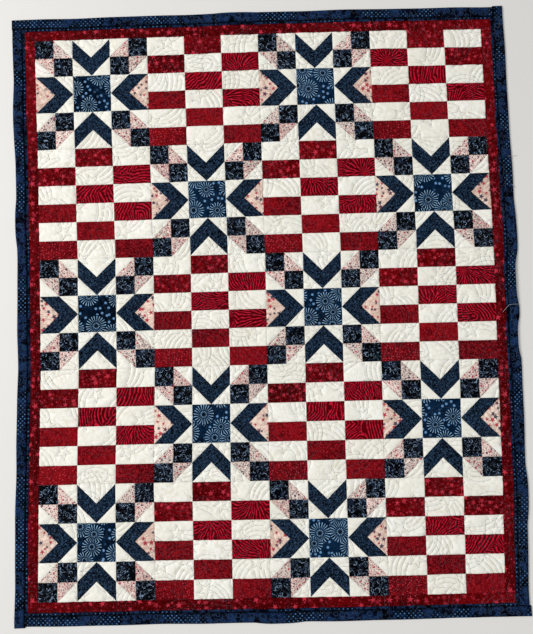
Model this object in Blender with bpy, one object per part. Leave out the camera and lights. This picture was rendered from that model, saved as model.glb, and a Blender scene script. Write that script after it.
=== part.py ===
"""A pieced quilt lying flat: star blocks and stripe blocks, two borders and a wide binding.

Units are metres. X runs across the quilt, Y along it and Z up. The quilt rests on its underside at
Z = 0, and its origin is below the middle of its box. Every panel is one closed solid of the quilt's
whole thickness, and neighbours stand PIECE_GAP apart.

The even quilt is a plan of straight rectangles. The lie() function then shifts every point of that
plan to where the cloth really lies, so that seams bow, blocks lean and the outer edge wanders.
"""

import math

import bpy
import numpy as np

# Sizes of the pieced middle
UNIT_ACROSS = 0.0505
UNIT_ALONG = 0.0500
BLOCK_UNITS = 6
COLUMNS = 4
ROWS = 5

# Sizes of the borders, measured outwards from the pieced middle
RED_WIDTH = 0.0270
NAVY_WIDTH = 0.0075
BINDING_WIDTH = 0.0275

# Heights of the upper face
SEAM_HEIGHT = 0.0030
PUFF = 0.0011
UNDULATION = 0.00035
BINDING_CREST = 0.0046
BINDING_EDGE = 0.0026

# Clearance between two panels
PIECE_GAP = 0.0003

# Mesh steps: cells along one block side, and the length of one border step in units
BLOCK_CELLS = 12
BORDER_STEP_UNITS = 1

MIDDLE_HALF_X = COLUMNS * BLOCK_UNITS * UNIT_ACROSS / 2
MIDDLE_HALF_Y = ROWS * BLOCK_UNITS * UNIT_ALONG / 2
BORDER = RED_WIDTH + NAVY_WIDTH + BINDING_WIDTH

# How far each upright block seam lies right of the even plan, in millimetres, where it meets the
# level seams from the top of the quilt to its bottom.
UPRIGHT_SEAM_SHIFTS = (
    # top, 2nd, 3rd, 4th, 5th, bottom
    (-9.0, -2.0, 3.0, 4.0, -2.0, -5.5),
    (-3.0, 0.5, 6.0, 6.0, -1.5, -1.0),
    (-2.5, 0.0, 3.0, 1.5, -1.0, -2.5),
    (-1.5, 0.5, 2.0, -0.5, -2.0, -2.0),
    (-3.5, 0.0, 5.0, 2.0, 0.0, -7.0),
)

# How far each level block seam lies above the even plan, in millimetres, where it meets the
# upright seams from the left of the quilt to its right.
LEVEL_SEAM_SHIFTS = (
    # left, 2nd, 3rd, 4th, right
    (1.5, 1.5, 2.0, 0.0, -5.0),
    (-2.5, -0.5, 1.5, 0.0, -1.0),
    (-3.5, -3.0, -1.0, -0.5, 0.0),
    (0.0, 2.0, 2.5, 3.5, 3.0),
    (-0.5, 0.0, -1.0, -1.5, -2.0),
    (-1.5, -0.5, -0.5, 0.0, 2.5),
)

# Places where the outer edge is drawn in (below zero) or bulges out, and how far it lifts there.
EDGE_WAVES = (
    # side, middle of the wave along the side, half its length, out, lift
    ("right", 0.060, 0.080, -0.0080, 0.0030),
    ("right", -0.095, 0.060, -0.0065, 0.0020),
    ("right", 0.200, 0.080, 0.0025, 0.0),
    ("right", -0.500, 0.080, 0.0040, 0.0),
    ("left", 0.530, 0.120, 0.0025, 0.0),
    ("left", 0.250, 0.070, 0.0025, 0.0),
    ("bottom", 0.020, 0.070, 0.0035, 0.0010),
    ("bottom", 0.520, 0.090, -0.0015, 0.0),
    ("top", -0.060, 0.060, 0.0015, 0.0),
)

# Small even ripples of the outer edge, a row for each side.
EDGE_RIPPLES = {
    # side: long ripple's height, its length, short ripple's height, its length, phase
    "right": (0.0006, 0.31, 0.0004, 0.17, 0.4),
    "left": (0.0008, 0.27, 0.0004, 0.15, 1.9),
    "top": (0.0006, 0.29, 0.0003, 0.16, 2.7),
    "bottom": (0.0005, 0.33, 0.0004, 0.18, 4.1),
}

# How the binding strips lap at the corners: each strip covers one corner and sticks out past it.
CORNER_STICK_OUT = {"top": 0.0012, "right": 0.0030, "bottom": 0.0040, "left": 0.0040}

COLOURS = {
    "star_block_cloth": (0.10, 0.17, 0.27),
    "stripe_block_cloth": (0.55, 0.06, 0.09),
    "red_border_cloth": (0.30, 0.01, 0.03),
    "navy_border_cloth": (0.02, 0.05, 0.14),
    "binding_cloth": (0.015, 0.035, 0.11),
}


def clear_scene():
    """Remove whatever objects the file opened with."""
    for item in list(bpy.data.objects):
        bpy.data.objects.remove(item, do_unlink=True)


def cloth_material(name):
    """Return a matt cotton material of the named colour."""
    material = bpy.data.materials.new(name)
    material.use_nodes = True
    shader = material.node_tree.nodes["Principled BSDF"]
    shader.inputs["Base Color"].default_value = (*COLOURS[name], 1.0)
    shader.inputs["Roughness"].default_value = 0.92
    shader.inputs["Metallic"].default_value = 0.0
    return material


def seam_shift(x, y):
    """Shift of the even plan's points, blended between the shifts of the four nearest crossings."""
    across = np.clip((x + MIDDLE_HALF_X) / (BLOCK_UNITS * UNIT_ACROSS), 0.0, COLUMNS)
    down = np.clip((MIDDLE_HALF_Y - y) / (BLOCK_UNITS * UNIT_ALONG), 0.0, ROWS)
    column = np.minimum(across.astype(int), COLUMNS - 1)
    row = np.minimum(down.astype(int), ROWS - 1)
    part_across = across - column
    part_down = down - row
    shifts = []
    for table in (np.array(UPRIGHT_SEAM_SHIFTS), np.array(LEVEL_SEAM_SHIFTS).T):
        near = table[column, row] * (1 - part_across) + table[column + 1, row] * part_across
        far = table[column, row + 1] * (1 - part_across) + table[column + 1, row + 1] * part_across
        shifts.append(0.001 * (near * (1 - part_down) + far * part_down))
    return shifts[0], shifts[1]


def bump(distance, reach):
    """A soft wave: 1 in its middle, 0 from its reach on."""
    inside = np.clip(1 - (distance / reach) ** 2, 0.0, 1.0)
    return inside ** 2 * (3 - 2 * inside)


def edge_out(side, along):
    """How far the outer edge of one side lies out from the even plan, and how far it lifts."""
    long_height, long_length, short_height, short_length, phase = EDGE_RIPPLES[side]
    out = long_height * np.sin(2 * math.pi * along / long_length + phase)
    out = out + short_height * np.sin(2 * math.pi * along / short_length + 2 * phase)
    lift = np.zeros_like(out)
    for wave_side, middle, reach, wave_out, wave_lift in EDGE_WAVES:
        if wave_side == side:
            wave = bump(along - middle, reach)
            out = out + wave_out * wave
            lift = lift + wave_lift * wave
    return out, lift


def lie(x, y):
    """Move points of the even plan to where the cloth lies; return x, y and the underside's lift."""
    shift_x, shift_y = seam_shift(x, y)
    lift = np.zeros_like(shift_x)
    for side, beyond, along, sign in (
        ("right", x - MIDDLE_HALF_X, y, 1),
        ("left", -x - MIDDLE_HALF_X, y, -1),
        ("top", y - MIDDLE_HALF_Y, x, 1),
        ("bottom", -y - MIDDLE_HALF_Y, x, -1),
    ):
        share = np.clip((beyond - RED_WIDTH / 2) / (BORDER - RED_WIDTH / 2), 0.0, 1.1)
        out, rise = edge_out(side, along)
        if side in ("right", "left"):
            shift_x = shift_x + sign * share * out
        else:
            shift_y = shift_y + sign * share * out
        rise_share = np.clip((beyond - RED_WIDTH - NAVY_WIDTH) / BINDING_WIDTH, 0.0, 1.0)
        lift = lift + rise_share * rise
    return x + shift_x, y + shift_y, lift


def undulation(x, y):
    """Slow unevenness of the filling, between -1 and 1."""
    first = np.sin(13.0 * x + 5.0 * y + 0.6) * np.cos(9.0 * y - 4.0 * x)
    second = np.sin(31.0 * x - 17.0 * y + 2.0) * np.cos(23.0 * y + 11.0 * x)
    return 0.6 * first + 0.4 * second


def on_stripe_seam(across, down):
    """True for block points, in units, on a seam between two bars."""
    return (np.abs(across / 2 - np.round(across / 2)) < 0.01) | (np.abs(down - np.round(down)) < 0.01)


def on_star_seam(across, down):
    """True for block points, in units, on a seam of the star block.

    The block is the same in its four quarters, so the distances from its middle lines are used.
    """
    middle = BLOCK_UNITS / 2
    side = np.abs(across - middle)
    height = np.abs(down - middle)
    outer_corner = (side >= 1) & (height >= 1)
    on_line = (np.abs(side - np.round(side)) < 0.01) | (np.abs(height - np.round(height)) < 0.01)
    square_seams = outer_corner & on_line
    diagonal = outer_corner & (np.abs(np.abs(side - height) - 1) < 0.01)
    frame = (np.abs(np.maximum(side, height) - 1) < 0.01) | (np.maximum(side, height) > middle - 0.01)
    arm_side = np.minimum(side, height)
    arm_reach = np.maximum(side, height) - 1
    in_arm = (arm_side <= 1) & (arm_reach >= 0)
    arrow_seam = in_arm & ((np.abs(arm_reach - arm_side) < 0.01) | (np.abs(arm_reach - arm_side - 1) < 0.01))
    arm_edge = in_arm & (np.abs(arm_side - 1) < 0.01)
    arrow_middle = in_arm & (arm_side < 0.01) & (arm_reach < 1.01)
    return square_seams | diagonal | frame | arrow_seam | arm_edge | arrow_middle


def closed_mesh(name, points, faces, material):
    """Make one named object from points and outward faces."""
    mesh = bpy.data.meshes.new(name)
    mesh.from_pydata([tuple(point) for point in points], [], faces)
    mesh.validate()
    mesh.update()
    mesh.materials.append(material)
    mesh.shade_smooth()
    mesh.set_sharp_from_angle(angle=math.radians(35))
    item = bpy.data.objects.new(name, mesh)
    bpy.context.scene.collection.objects.link(item)
    return item


def ring_of(count_x, count_y):
    """Grid indices round the rim, anticlockwise seen from above, starting at the lower left."""
    lower = [(i, 0) for i in range(count_x - 1)]
    right = [(count_x - 1, j) for j in range(count_y - 1)]
    upper = [(i, count_y - 1) for i in range(count_x - 1, 0, -1)]
    left = [(0, j) for j in range(count_y - 1, 0, -1)]
    return lower + right + upper + left


def block(name, column, row, is_star, material):
    """One pieced panel: a puffed upper face, straight sides and a flat underside.

    The underside has only its four corners, because a block's sides are straight seams.
    """
    left = -MIDDLE_HALF_X + column * BLOCK_UNITS * UNIT_ACROSS + PIECE_GAP / 2
    right = left + BLOCK_UNITS * UNIT_ACROSS - PIECE_GAP
    upper = MIDDLE_HALF_Y - row * BLOCK_UNITS * UNIT_ALONG - PIECE_GAP / 2
    lower = upper - BLOCK_UNITS * UNIT_ALONG + PIECE_GAP
    steps = np.linspace(0, 1, BLOCK_CELLS + 1)
    plan_x, plan_y = np.meshgrid(left + (right - left) * steps, lower + (upper - lower) * steps)
    units_across, units_down = np.meshgrid(BLOCK_UNITS * steps, BLOCK_UNITS * (1 - steps))
    seam_test = on_star_seam if is_star else on_stripe_seam
    low = seam_test(units_across, units_down)
    x, y, _ = lie(plan_x, plan_y)
    z = SEAM_HEIGHT + np.where(low, 0.0, PUFF)
    rim = np.zeros_like(low)
    rim[0, :] = rim[-1, :] = rim[:, 0] = rim[:, -1] = True
    z = z + np.where(rim, 0.0, UNDULATION * undulation(plan_x, plan_y))
    points = list(zip(x.ravel(), y.ravel(), z.ravel()))
    width = BLOCK_CELLS + 1
    faces = []
    for j in range(BLOCK_CELLS):
        for i in range(BLOCK_CELLS):
            a = j * width + i
            b, c, d = a + 1, a + width + 1, a + width
            rising = (i < BLOCK_CELLS / 2) == (j < BLOCK_CELLS / 2)
            faces += [(a, b, c), (a, c, d)] if rising else [(a, b, d), (b, c, d)]
    corners = [(0, 0), (BLOCK_CELLS, 0), (BLOCK_CELLS, BLOCK_CELLS), (0, BLOCK_CELLS)]
    first_low = len(points)
    points += [(x[j, i], y[j, i], 0.0) for i, j in corners]
    rim_loop = [j * width + i for i, j in ring_of(width, width)]
    for side in range(4):
        run = rim_loop[side * BLOCK_CELLS:(side + 1) * BLOCK_CELLS]
        run = run + [rim_loop[(side + 1) * BLOCK_CELLS % len(rim_loop)]]
        start, end = first_low + side, first_low + (side + 1) % 4
        half = BLOCK_CELLS // 2
        faces += [(start, upper_b, upper_a) for upper_a, upper_b in zip(run[:half], run[1:half + 1])]
        faces.append((start, end, run[half]))
        faces += [(end, upper_b, upper_a) for upper_a, upper_b in zip(run[half:-1], run[half + 1:])]
    faces += [(first_low, first_low + 2, first_low + 1), (first_low, first_low + 3, first_low + 2)]
    return closed_mesh(name, points, faces, material)


def strip(name, side, near, far, start, end, profile, material):
    """One border strip, from distance near to distance far outside the pieced middle.

    start and end are plan positions along the side. profile lists (part of the width, height) for
    the upper face, from the inner edge to the outer one.
    """
    along_half = MIDDLE_HALF_Y if side in ("left", "right") else MIDDLE_HALF_X
    across_half = MIDDLE_HALF_X if side in ("left", "right") else MIDDLE_HALF_Y
    unit = UNIT_ALONG if side in ("left", "right") else UNIT_ACROSS
    step = BORDER_STEP_UNITS * unit
    inner = [k * step - along_half for k in range(int(round(2 * along_half / step)) + 1)]
    stations = [start] + [s for s in inner if start + 0.2 * step < s < end - 0.2 * step] + [end]
    parts = np.array([part for part, _ in profile])
    heights = np.array([height for _, height in profile])
    out = across_half + near + (far - near) * parts
    along, outwards = np.meshgrid(np.array(stations), out, indexing="ij")
    plan = {
        "right": (outwards, along),
        "left": (-outwards, -along),
        "top": (-along, outwards),
        "bottom": (along, -outwards),
    }[side]
    x, y, lift = lie(*plan)
    top_z = heights[None, :] + lift
    count, across = x.shape
    points = list(zip(x.ravel(), y.ravel(), top_z.ravel()))
    first_low = len(points)
    for k in range(count):
        points += [(x[k, 0], y[k, 0], lift[k, 0]), (x[k, -1], y[k, -1], lift[k, -1])]
    faces = []
    for k in range(count - 1):
        for i in range(across - 1):
            a = k * across + i
            b, c, d = a + 1, a + across + 1, a + across
            faces += [(a, b, c), (a, c, d)]
        inner_low, outer_low = first_low + 2 * k, first_low + 2 * k + 1
        next_inner, next_outer = inner_low + 2, outer_low + 2
        top_in, top_out = k * across, k * across + across - 1
        faces += [(inner_low, top_in, top_in + across), (inner_low, top_in + across, next_inner)]
        faces += [(outer_low, top_out + across, top_out), (outer_low, next_outer, top_out + across)]
        faces += [(inner_low, next_inner, next_outer), (inner_low, next_outer, outer_low)]
    head = [first_low, first_low + 1] + [i for i in range(across - 1, -1, -1)]
    last = (count - 1) * across
    tail = [first_low + 2 * count - 1, first_low + 2 * count - 2] + [last + i for i in range(across)]
    faces += [tuple(head), tuple(tail)]
    return closed_mesh(name, points, faces, material)


def turned(side, start, end):
    """Start and end along a strip's own direction: left and top strips run the other way round."""
    return (start, end) if side in ("right", "bottom") else (-end, -start)


def borders(red, navy, binding):
    """Make the red and navy borders and the binding on the four sides."""
    made = []
    gap = PIECE_GAP / 2
    flat_profile = ((0.0, SEAM_HEIGHT), (0.5, SEAM_HEIGHT + PUFF), (1.0, SEAM_HEIGHT))
    navy_profile = ((0.0, SEAM_HEIGHT), (1.0, SEAM_HEIGHT + 0.0003))
    binding_profile = (
        (0.0, SEAM_HEIGHT + 0.0004),
        (0.18, BINDING_CREST),
        (0.72, BINDING_CREST - 0.0003),
        (1.0, BINDING_EDGE),
    )
    for side in ("top", "bottom", "left", "right"):
        upright = side in ("left", "right")
        half = MIDDLE_HALF_Y if upright else MIDDLE_HALF_X
        reach = 0.0 if upright else RED_WIDTH
        ends = turned(side, -half - reach + gap, half + reach - gap)
        made.append(strip("red_border_" + side, side, gap, RED_WIDTH - gap, *ends, flat_profile, red))
        reach = RED_WIDTH if upright else RED_WIDTH + NAVY_WIDTH
        ends = turned(side, -half - reach + gap, half + reach - gap)
        near, far = RED_WIDTH + gap, RED_WIDTH + NAVY_WIDTH - gap
        made.append(strip("navy_border_" + side, side, near, far, *ends, navy_profile, navy))
        before = half + RED_WIDTH + NAVY_WIDTH
        covers = half + BORDER + CORNER_STICK_OUT[side]
        reach_by_side = {
            "top": (-covers, before - gap),
            "left": (-covers, before - gap),
            "right": (-before + gap, covers),
            "bottom": (-before + gap, covers),
        }
        ends = turned(side, *reach_by_side[side])
        near, far = RED_WIDTH + NAVY_WIDTH + gap, BORDER
        made.append(strip("binding_" + side, side, near, far, *ends, binding_profile, binding))
    return made


def blocks(star, stripe):
    """Make the twenty blocks, star and stripe by turns, with a star block at the upper left."""
    made = []
    for row in range(ROWS):
        for column in range(COLUMNS):
            is_star = (row + column) % 2 == 0
            kind = "star_block" if is_star else "stripe_block"
            name = f"{kind}_c{column + 1}_r{row + 1}"
            made.append(block(name, column, row, is_star, star if is_star else stripe))
    return made


def centre_on_origin(items):
    """Shift every mesh so that the middle of the whole quilt's box is above the origin."""
    every = np.array([point.co[:] for item in items for point in item.data.vertices])
    middle = (every.min(axis=0) + every.max(axis=0)) / 2
    for item in items:
        for point in item.data.vertices:
            point.co.x -= middle[0]
            point.co.y -= middle[1]
        item.data.update()


def main():
    """Build the quilt."""
    clear_scene()
    cloth = {name: cloth_material(name) for name in COLOURS}
    items = blocks(cloth["star_block_cloth"], cloth["stripe_block_cloth"])
    items += borders(cloth["red_border_cloth"], cloth["navy_border_cloth"], cloth["binding_cloth"])
    centre_on_origin(items)


main()
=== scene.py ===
"""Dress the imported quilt: pieced printed cloths, quilting, folded binding and loose thread ends.

Units are metres. X runs across the quilt, Y along it and Z up. The patchwork is laid out on the same
even plan as the part's source, and LyingCloth moves each point of that plan to where the cloth lies.
Every CAD solid is replaced by a finer closed panel of its own form: an upper face with seams and
quilting in relief, side walls and a flat underside.
"""

import logging
import math
from collections.abc import Callable
from dataclasses import dataclass, field, replace
from enum import Enum

import bpy
import numpy as np
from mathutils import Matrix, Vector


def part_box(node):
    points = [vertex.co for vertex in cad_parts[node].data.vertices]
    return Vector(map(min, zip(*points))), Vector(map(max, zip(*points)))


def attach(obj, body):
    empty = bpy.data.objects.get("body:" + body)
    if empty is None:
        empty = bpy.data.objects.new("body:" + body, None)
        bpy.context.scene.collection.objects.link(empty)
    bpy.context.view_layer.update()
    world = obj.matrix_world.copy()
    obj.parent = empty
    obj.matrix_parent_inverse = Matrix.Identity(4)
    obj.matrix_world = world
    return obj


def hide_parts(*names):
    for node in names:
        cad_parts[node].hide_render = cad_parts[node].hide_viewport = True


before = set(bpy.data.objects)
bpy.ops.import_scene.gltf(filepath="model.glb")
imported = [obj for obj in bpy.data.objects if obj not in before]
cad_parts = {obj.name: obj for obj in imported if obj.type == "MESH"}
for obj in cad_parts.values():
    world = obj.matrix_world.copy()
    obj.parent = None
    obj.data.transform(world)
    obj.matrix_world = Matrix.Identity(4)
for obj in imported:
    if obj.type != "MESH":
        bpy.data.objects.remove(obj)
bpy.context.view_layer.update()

MILLIMETRE = 0.001
TURN = 2 * math.pi

Array = np.ndarray
Socket = bpy.types.NodeSocket
Colour = tuple[float, float, float]

log = logging.getLogger("quilt")


def hashed(first: Array | float, second: Array | float, salt: float) -> Array:
    """Give a steady pseudo-random number between 0 and 1 for a pair of whole numbers.

    The number is the fraction part of a large sine of the weighted pair.

    Args:
        first: first whole number or array.
        second: second whole number or array.
        salt: picks one of many such sequences.

    Returns:
        Numbers from 0 to 1, in the shape of the input.
    """
    wave = np.sin(first * 12.9898 + second * 78.233 + salt * 37.719) * 43758.5453
    return wave - np.floor(wave)


def run_along(path: Array) -> Array:
    """Length of a path up to each of its points."""
    return np.concatenate([[0.0], np.cumsum(np.linalg.norm(np.diff(path, axis=0), axis=1))])


def linear(red: float, green: float, blue: float) -> Colour:
    """Turn a colour on the 0 to 255 display scale into linear light.

    Args:
        red: red part, 0 to 255.
        green: green part, 0 to 255.
        blue: blue part, 0 to 255.

    Returns:
        The three linear parts, 0 to 1.
    """
    parts = [part / 255 for part in (red, green, blue)]
    return tuple(p / 12.92 if p <= 0.04045 else ((p + 0.055) / 1.055) ** 2.4 for p in parts)


class Side(Enum):
    """The four sides of the quilt."""

    TOP = "top"
    BOTTOM = "bottom"
    LEFT = "left"
    RIGHT = "right"

    @property
    def upright(self) -> bool:
        """True for the left and the right side."""
        return self in (Side.LEFT, Side.RIGHT)

    def turned(self, quarters: int) -> "Side":
        """The side that lies some quarter turns further on, anticlockwise."""
        around = (Side.TOP, Side.LEFT, Side.BOTTOM, Side.RIGHT)
        return around[(around.index(self) + quarters) % len(around)]


class PanelKind(Enum):
    """The kinds of panel, each with a name for its cloth."""

    STAR_BLOCK = "star_block_cloth"
    STRIPE_BLOCK = "stripe_block_cloth"
    RED_BORDER = "red_border_cloth"
    NAVY_BORDER = "navy_border_cloth"
    BINDING = "binding_cloth"


class Fabric(Enum):
    """The printed cloths that the quilt is pieced from."""

    CREAM = "cream_tonal"
    TIDE = "red_tide"
    STARRY = "red_starry"
    MOTTLED = "red_mottled"
    DOTTED = "red_dotted"
    NAVY = "navy_mottled"
    SCROLL = "midnight_scroll"
    BURST = "blue_burst"
    BLUSH_DOTS = "blush_dots"
    BLUSH_STARS = "blush_stars"
    BORDER_RED = "border_red"
    BORDER_NAVY = "border_navy"
    BACKING = "cream_backing"

    @property
    def number(self) -> int:
        """Place of this cloth in the list of all cloths."""
        return list(Fabric).index(self)


@dataclass(frozen=True)
class QuiltPlan:
    """Sizes of the even plan. Border widths are measured outwards from the pieced middle."""

    unit_across: float = 0.0505
    unit_along: float = 0.0500
    block_units: int = 6
    columns: int = 4
    rows: int = 5
    red_width: float = 0.0270
    navy_width: float = 0.0075
    binding_width: float = 0.0275

    @property
    def half_x(self) -> float:
        """Half the width of the pieced middle."""
        return self.columns * self.block_units * self.unit_across / 2

    @property
    def half_y(self) -> float:
        """Half the length of the pieced middle."""
        return self.rows * self.block_units * self.unit_along / 2

    @property
    def navy_edge(self) -> float:
        """Distance from the pieced middle to the inner edge of the binding."""
        return self.red_width + self.navy_width

    @property
    def border(self) -> float:
        """Distance from the pieced middle to the outer edge of the quilt."""
        return self.navy_edge + self.binding_width

    def half(self, side: Side) -> float:
        """Distance from the quilt's middle to the pieced middle's edge on one side."""
        return self.half_x if side.upright else self.half_y

    def length(self, side: Side) -> float:
        """Half the length of the pieced middle's edge on one side."""
        return self.half_y if side.upright else self.half_x


@dataclass(frozen=True)
class LyingCloth:
    """Moves points of the even plan to where the quilt lies, as the part's source does."""

    plan: QuiltPlan
    offset: tuple[float, float] = (0.0, 0.0)
    # Millimetres right of the even plan, for each upright block seam from the quilt's top to its bottom
    upright_seam_shifts: tuple = (
        (-9.0, -2.0, 3.0, 4.0, -2.0, -5.5),
        (-3.0, 0.5, 6.0, 6.0, -1.5, -1.0),
        (-2.5, 0.0, 3.0, 1.5, -1.0, -2.5),
        (-1.5, 0.5, 2.0, -0.5, -2.0, -2.0),
        (-3.5, 0.0, 5.0, 2.0, 0.0, -7.0),
    )
    # Millimetres above the even plan, for each level block seam from the quilt's left to its right
    level_seam_shifts: tuple = (
        (1.5, 1.5, 2.0, 0.0, -5.0),
        (-2.5, -0.5, 1.5, 0.0, -1.0),
        (-3.5, -3.0, -1.0, -0.5, 0.0),
        (0.0, 2.0, 2.5, 3.5, 3.0),
        (-0.5, 0.0, -1.0, -1.5, -2.0),
        (-1.5, -0.5, -0.5, 0.0, 2.5),
    )
    # Side, middle of the wave along the side, half its length, how far out, how far up
    edge_waves: tuple = (
        (Side.RIGHT, 0.060, 0.080, -0.0080, 0.0030),
        (Side.RIGHT, -0.095, 0.060, -0.0065, 0.0020),
        (Side.RIGHT, 0.200, 0.080, 0.0025, 0.0),
        (Side.RIGHT, -0.500, 0.080, 0.0040, 0.0),
        (Side.LEFT, 0.530, 0.120, 0.0025, 0.0),
        (Side.LEFT, 0.250, 0.070, 0.0025, 0.0),
        (Side.BOTTOM, 0.020, 0.070, 0.0035, 0.0010),
        (Side.BOTTOM, 0.520, 0.090, -0.0015, 0.0),
        (Side.TOP, -0.060, 0.060, 0.0015, 0.0),
    )
    # Side: long ripple's height and length, short ripple's height and length, phase
    edge_ripples: tuple = (
        (Side.RIGHT, (0.0006, 0.31, 0.0004, 0.17, 0.4)),
        (Side.LEFT, (0.0008, 0.27, 0.0004, 0.15, 1.9)),
        (Side.TOP, (0.0006, 0.29, 0.0003, 0.16, 2.7)),
        (Side.BOTTOM, (0.0005, 0.33, 0.0004, 0.18, 4.1)),
    )

    @classmethod
    def on_frame(cls, plan: QuiltPlan, gap: float = 0.0003) -> "LyingCloth":
        """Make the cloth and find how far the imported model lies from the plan's own middle.

        The upper left block's box is compared with the lowest x and highest y of its four corners.

        Args:
            plan: the even plan.
            gap: clearance between two CAD panels.

        Returns:
            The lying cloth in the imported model's place.
        """
        bare = cls(plan)
        left = -plan.half_x + gap / 2
        right = left + plan.block_units * plan.unit_across - gap
        upper = plan.half_y - gap / 2
        lower = upper - plan.block_units * plan.unit_along + gap
        corners = np.array([(left, upper), (right, upper), (left, lower), (right, lower)])
        x, y, _ = bare.place(corners[:, 0], corners[:, 1])
        low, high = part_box("star_block_c1_r1")
        return cls(plan, offset=(float(low[0] - x.min()), float(high[1] - y.max())))

    def seam_shift(self, x: Array, y: Array) -> tuple[Array, Array]:
        """Blend the shifts of the four block crossings round each plan point.

        Args:
            x: plan positions across.
            y: plan positions along.

        Returns:
            The shift across and the shift along.
        """
        plan = self.plan
        across = np.clip((x + plan.half_x) / (plan.block_units * plan.unit_across), 0.0, plan.columns)
        down = np.clip((plan.half_y - y) / (plan.block_units * plan.unit_along), 0.0, plan.rows)
        column = np.minimum(across.astype(int), plan.columns - 1)
        row = np.minimum(down.astype(int), plan.rows - 1)
        right = across - column
        below = down - row
        shifts = []
        for table in (np.array(self.upright_seam_shifts), np.array(self.level_seam_shifts).T):
            near = table[column, row] * (1 - right) + table[column + 1, row] * right
            far = table[column, row + 1] * (1 - right) + table[column + 1, row + 1] * right
            shifts.append(MILLIMETRE * (near * (1 - below) + far * below))
        return shifts[0], shifts[1]

    def edge_out(self, side: Side, along: Array) -> tuple[Array, Array]:
        """Find how far one side's outer edge lies out from the plan, and how far it lifts.

        Two sine ripples and a few soft waves are added up. A wave is s * s * (3 - 2 * s), where s is
        one less the square of the distance from its middle over its reach.

        Args:
            side: the side of the quilt.
            along: plan positions along that side.

        Returns:
            The distance out and the lift.
        """
        long_height, long_length, short_height, short_length, phase = dict(self.edge_ripples)[side]
        out = long_height * np.sin(TURN * along / long_length + phase)
        out = out + short_height * np.sin(TURN * along / short_length + 2 * phase)
        lift = np.zeros_like(out)
        for wave_side, middle, reach, wave_out, wave_lift in self.edge_waves:
            if wave_side == side:
                inside = np.clip(1 - ((along - middle) / reach) ** 2, 0.0, 1.0)
                wave = inside**2 * (3 - 2 * inside)
                out = out + wave_out * wave
                lift = lift + wave_lift * wave
        return out, lift

    def place(self, x: Array, y: Array) -> tuple[Array, Array, Array]:
        """Move plan points to where the cloth lies.

        Args:
            x: plan positions across.
            y: plan positions along.

        Returns:
            World x, world y and the lift of the underside above the floor.
        """
        plan = self.plan
        shift_x, shift_y = self.seam_shift(x, y)
        lift = np.zeros_like(shift_x)
        inner = plan.red_width / 2
        for side, beyond, along, sign in (
            (Side.RIGHT, x - plan.half_x, y, 1),
            (Side.LEFT, -x - plan.half_x, y, -1),
            (Side.TOP, y - plan.half_y, x, 1),
            (Side.BOTTOM, -y - plan.half_y, x, -1),
        ):
            # A little over 1 where a binding strip sticks out past its corner
            share = np.clip((beyond - inner) / (plan.border - inner), 0.0, 1.1)
            out, rise = self.edge_out(side, along)
            if side.upright:
                shift_x = shift_x + sign * share * out
            else:
                shift_y = shift_y + sign * share * out
            lift = lift + np.clip((beyond - plan.navy_edge) / plan.binding_width, 0.0, 1.0) * rise
        return x + shift_x + self.offset[0], y + shift_y + self.offset[1], lift


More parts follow.
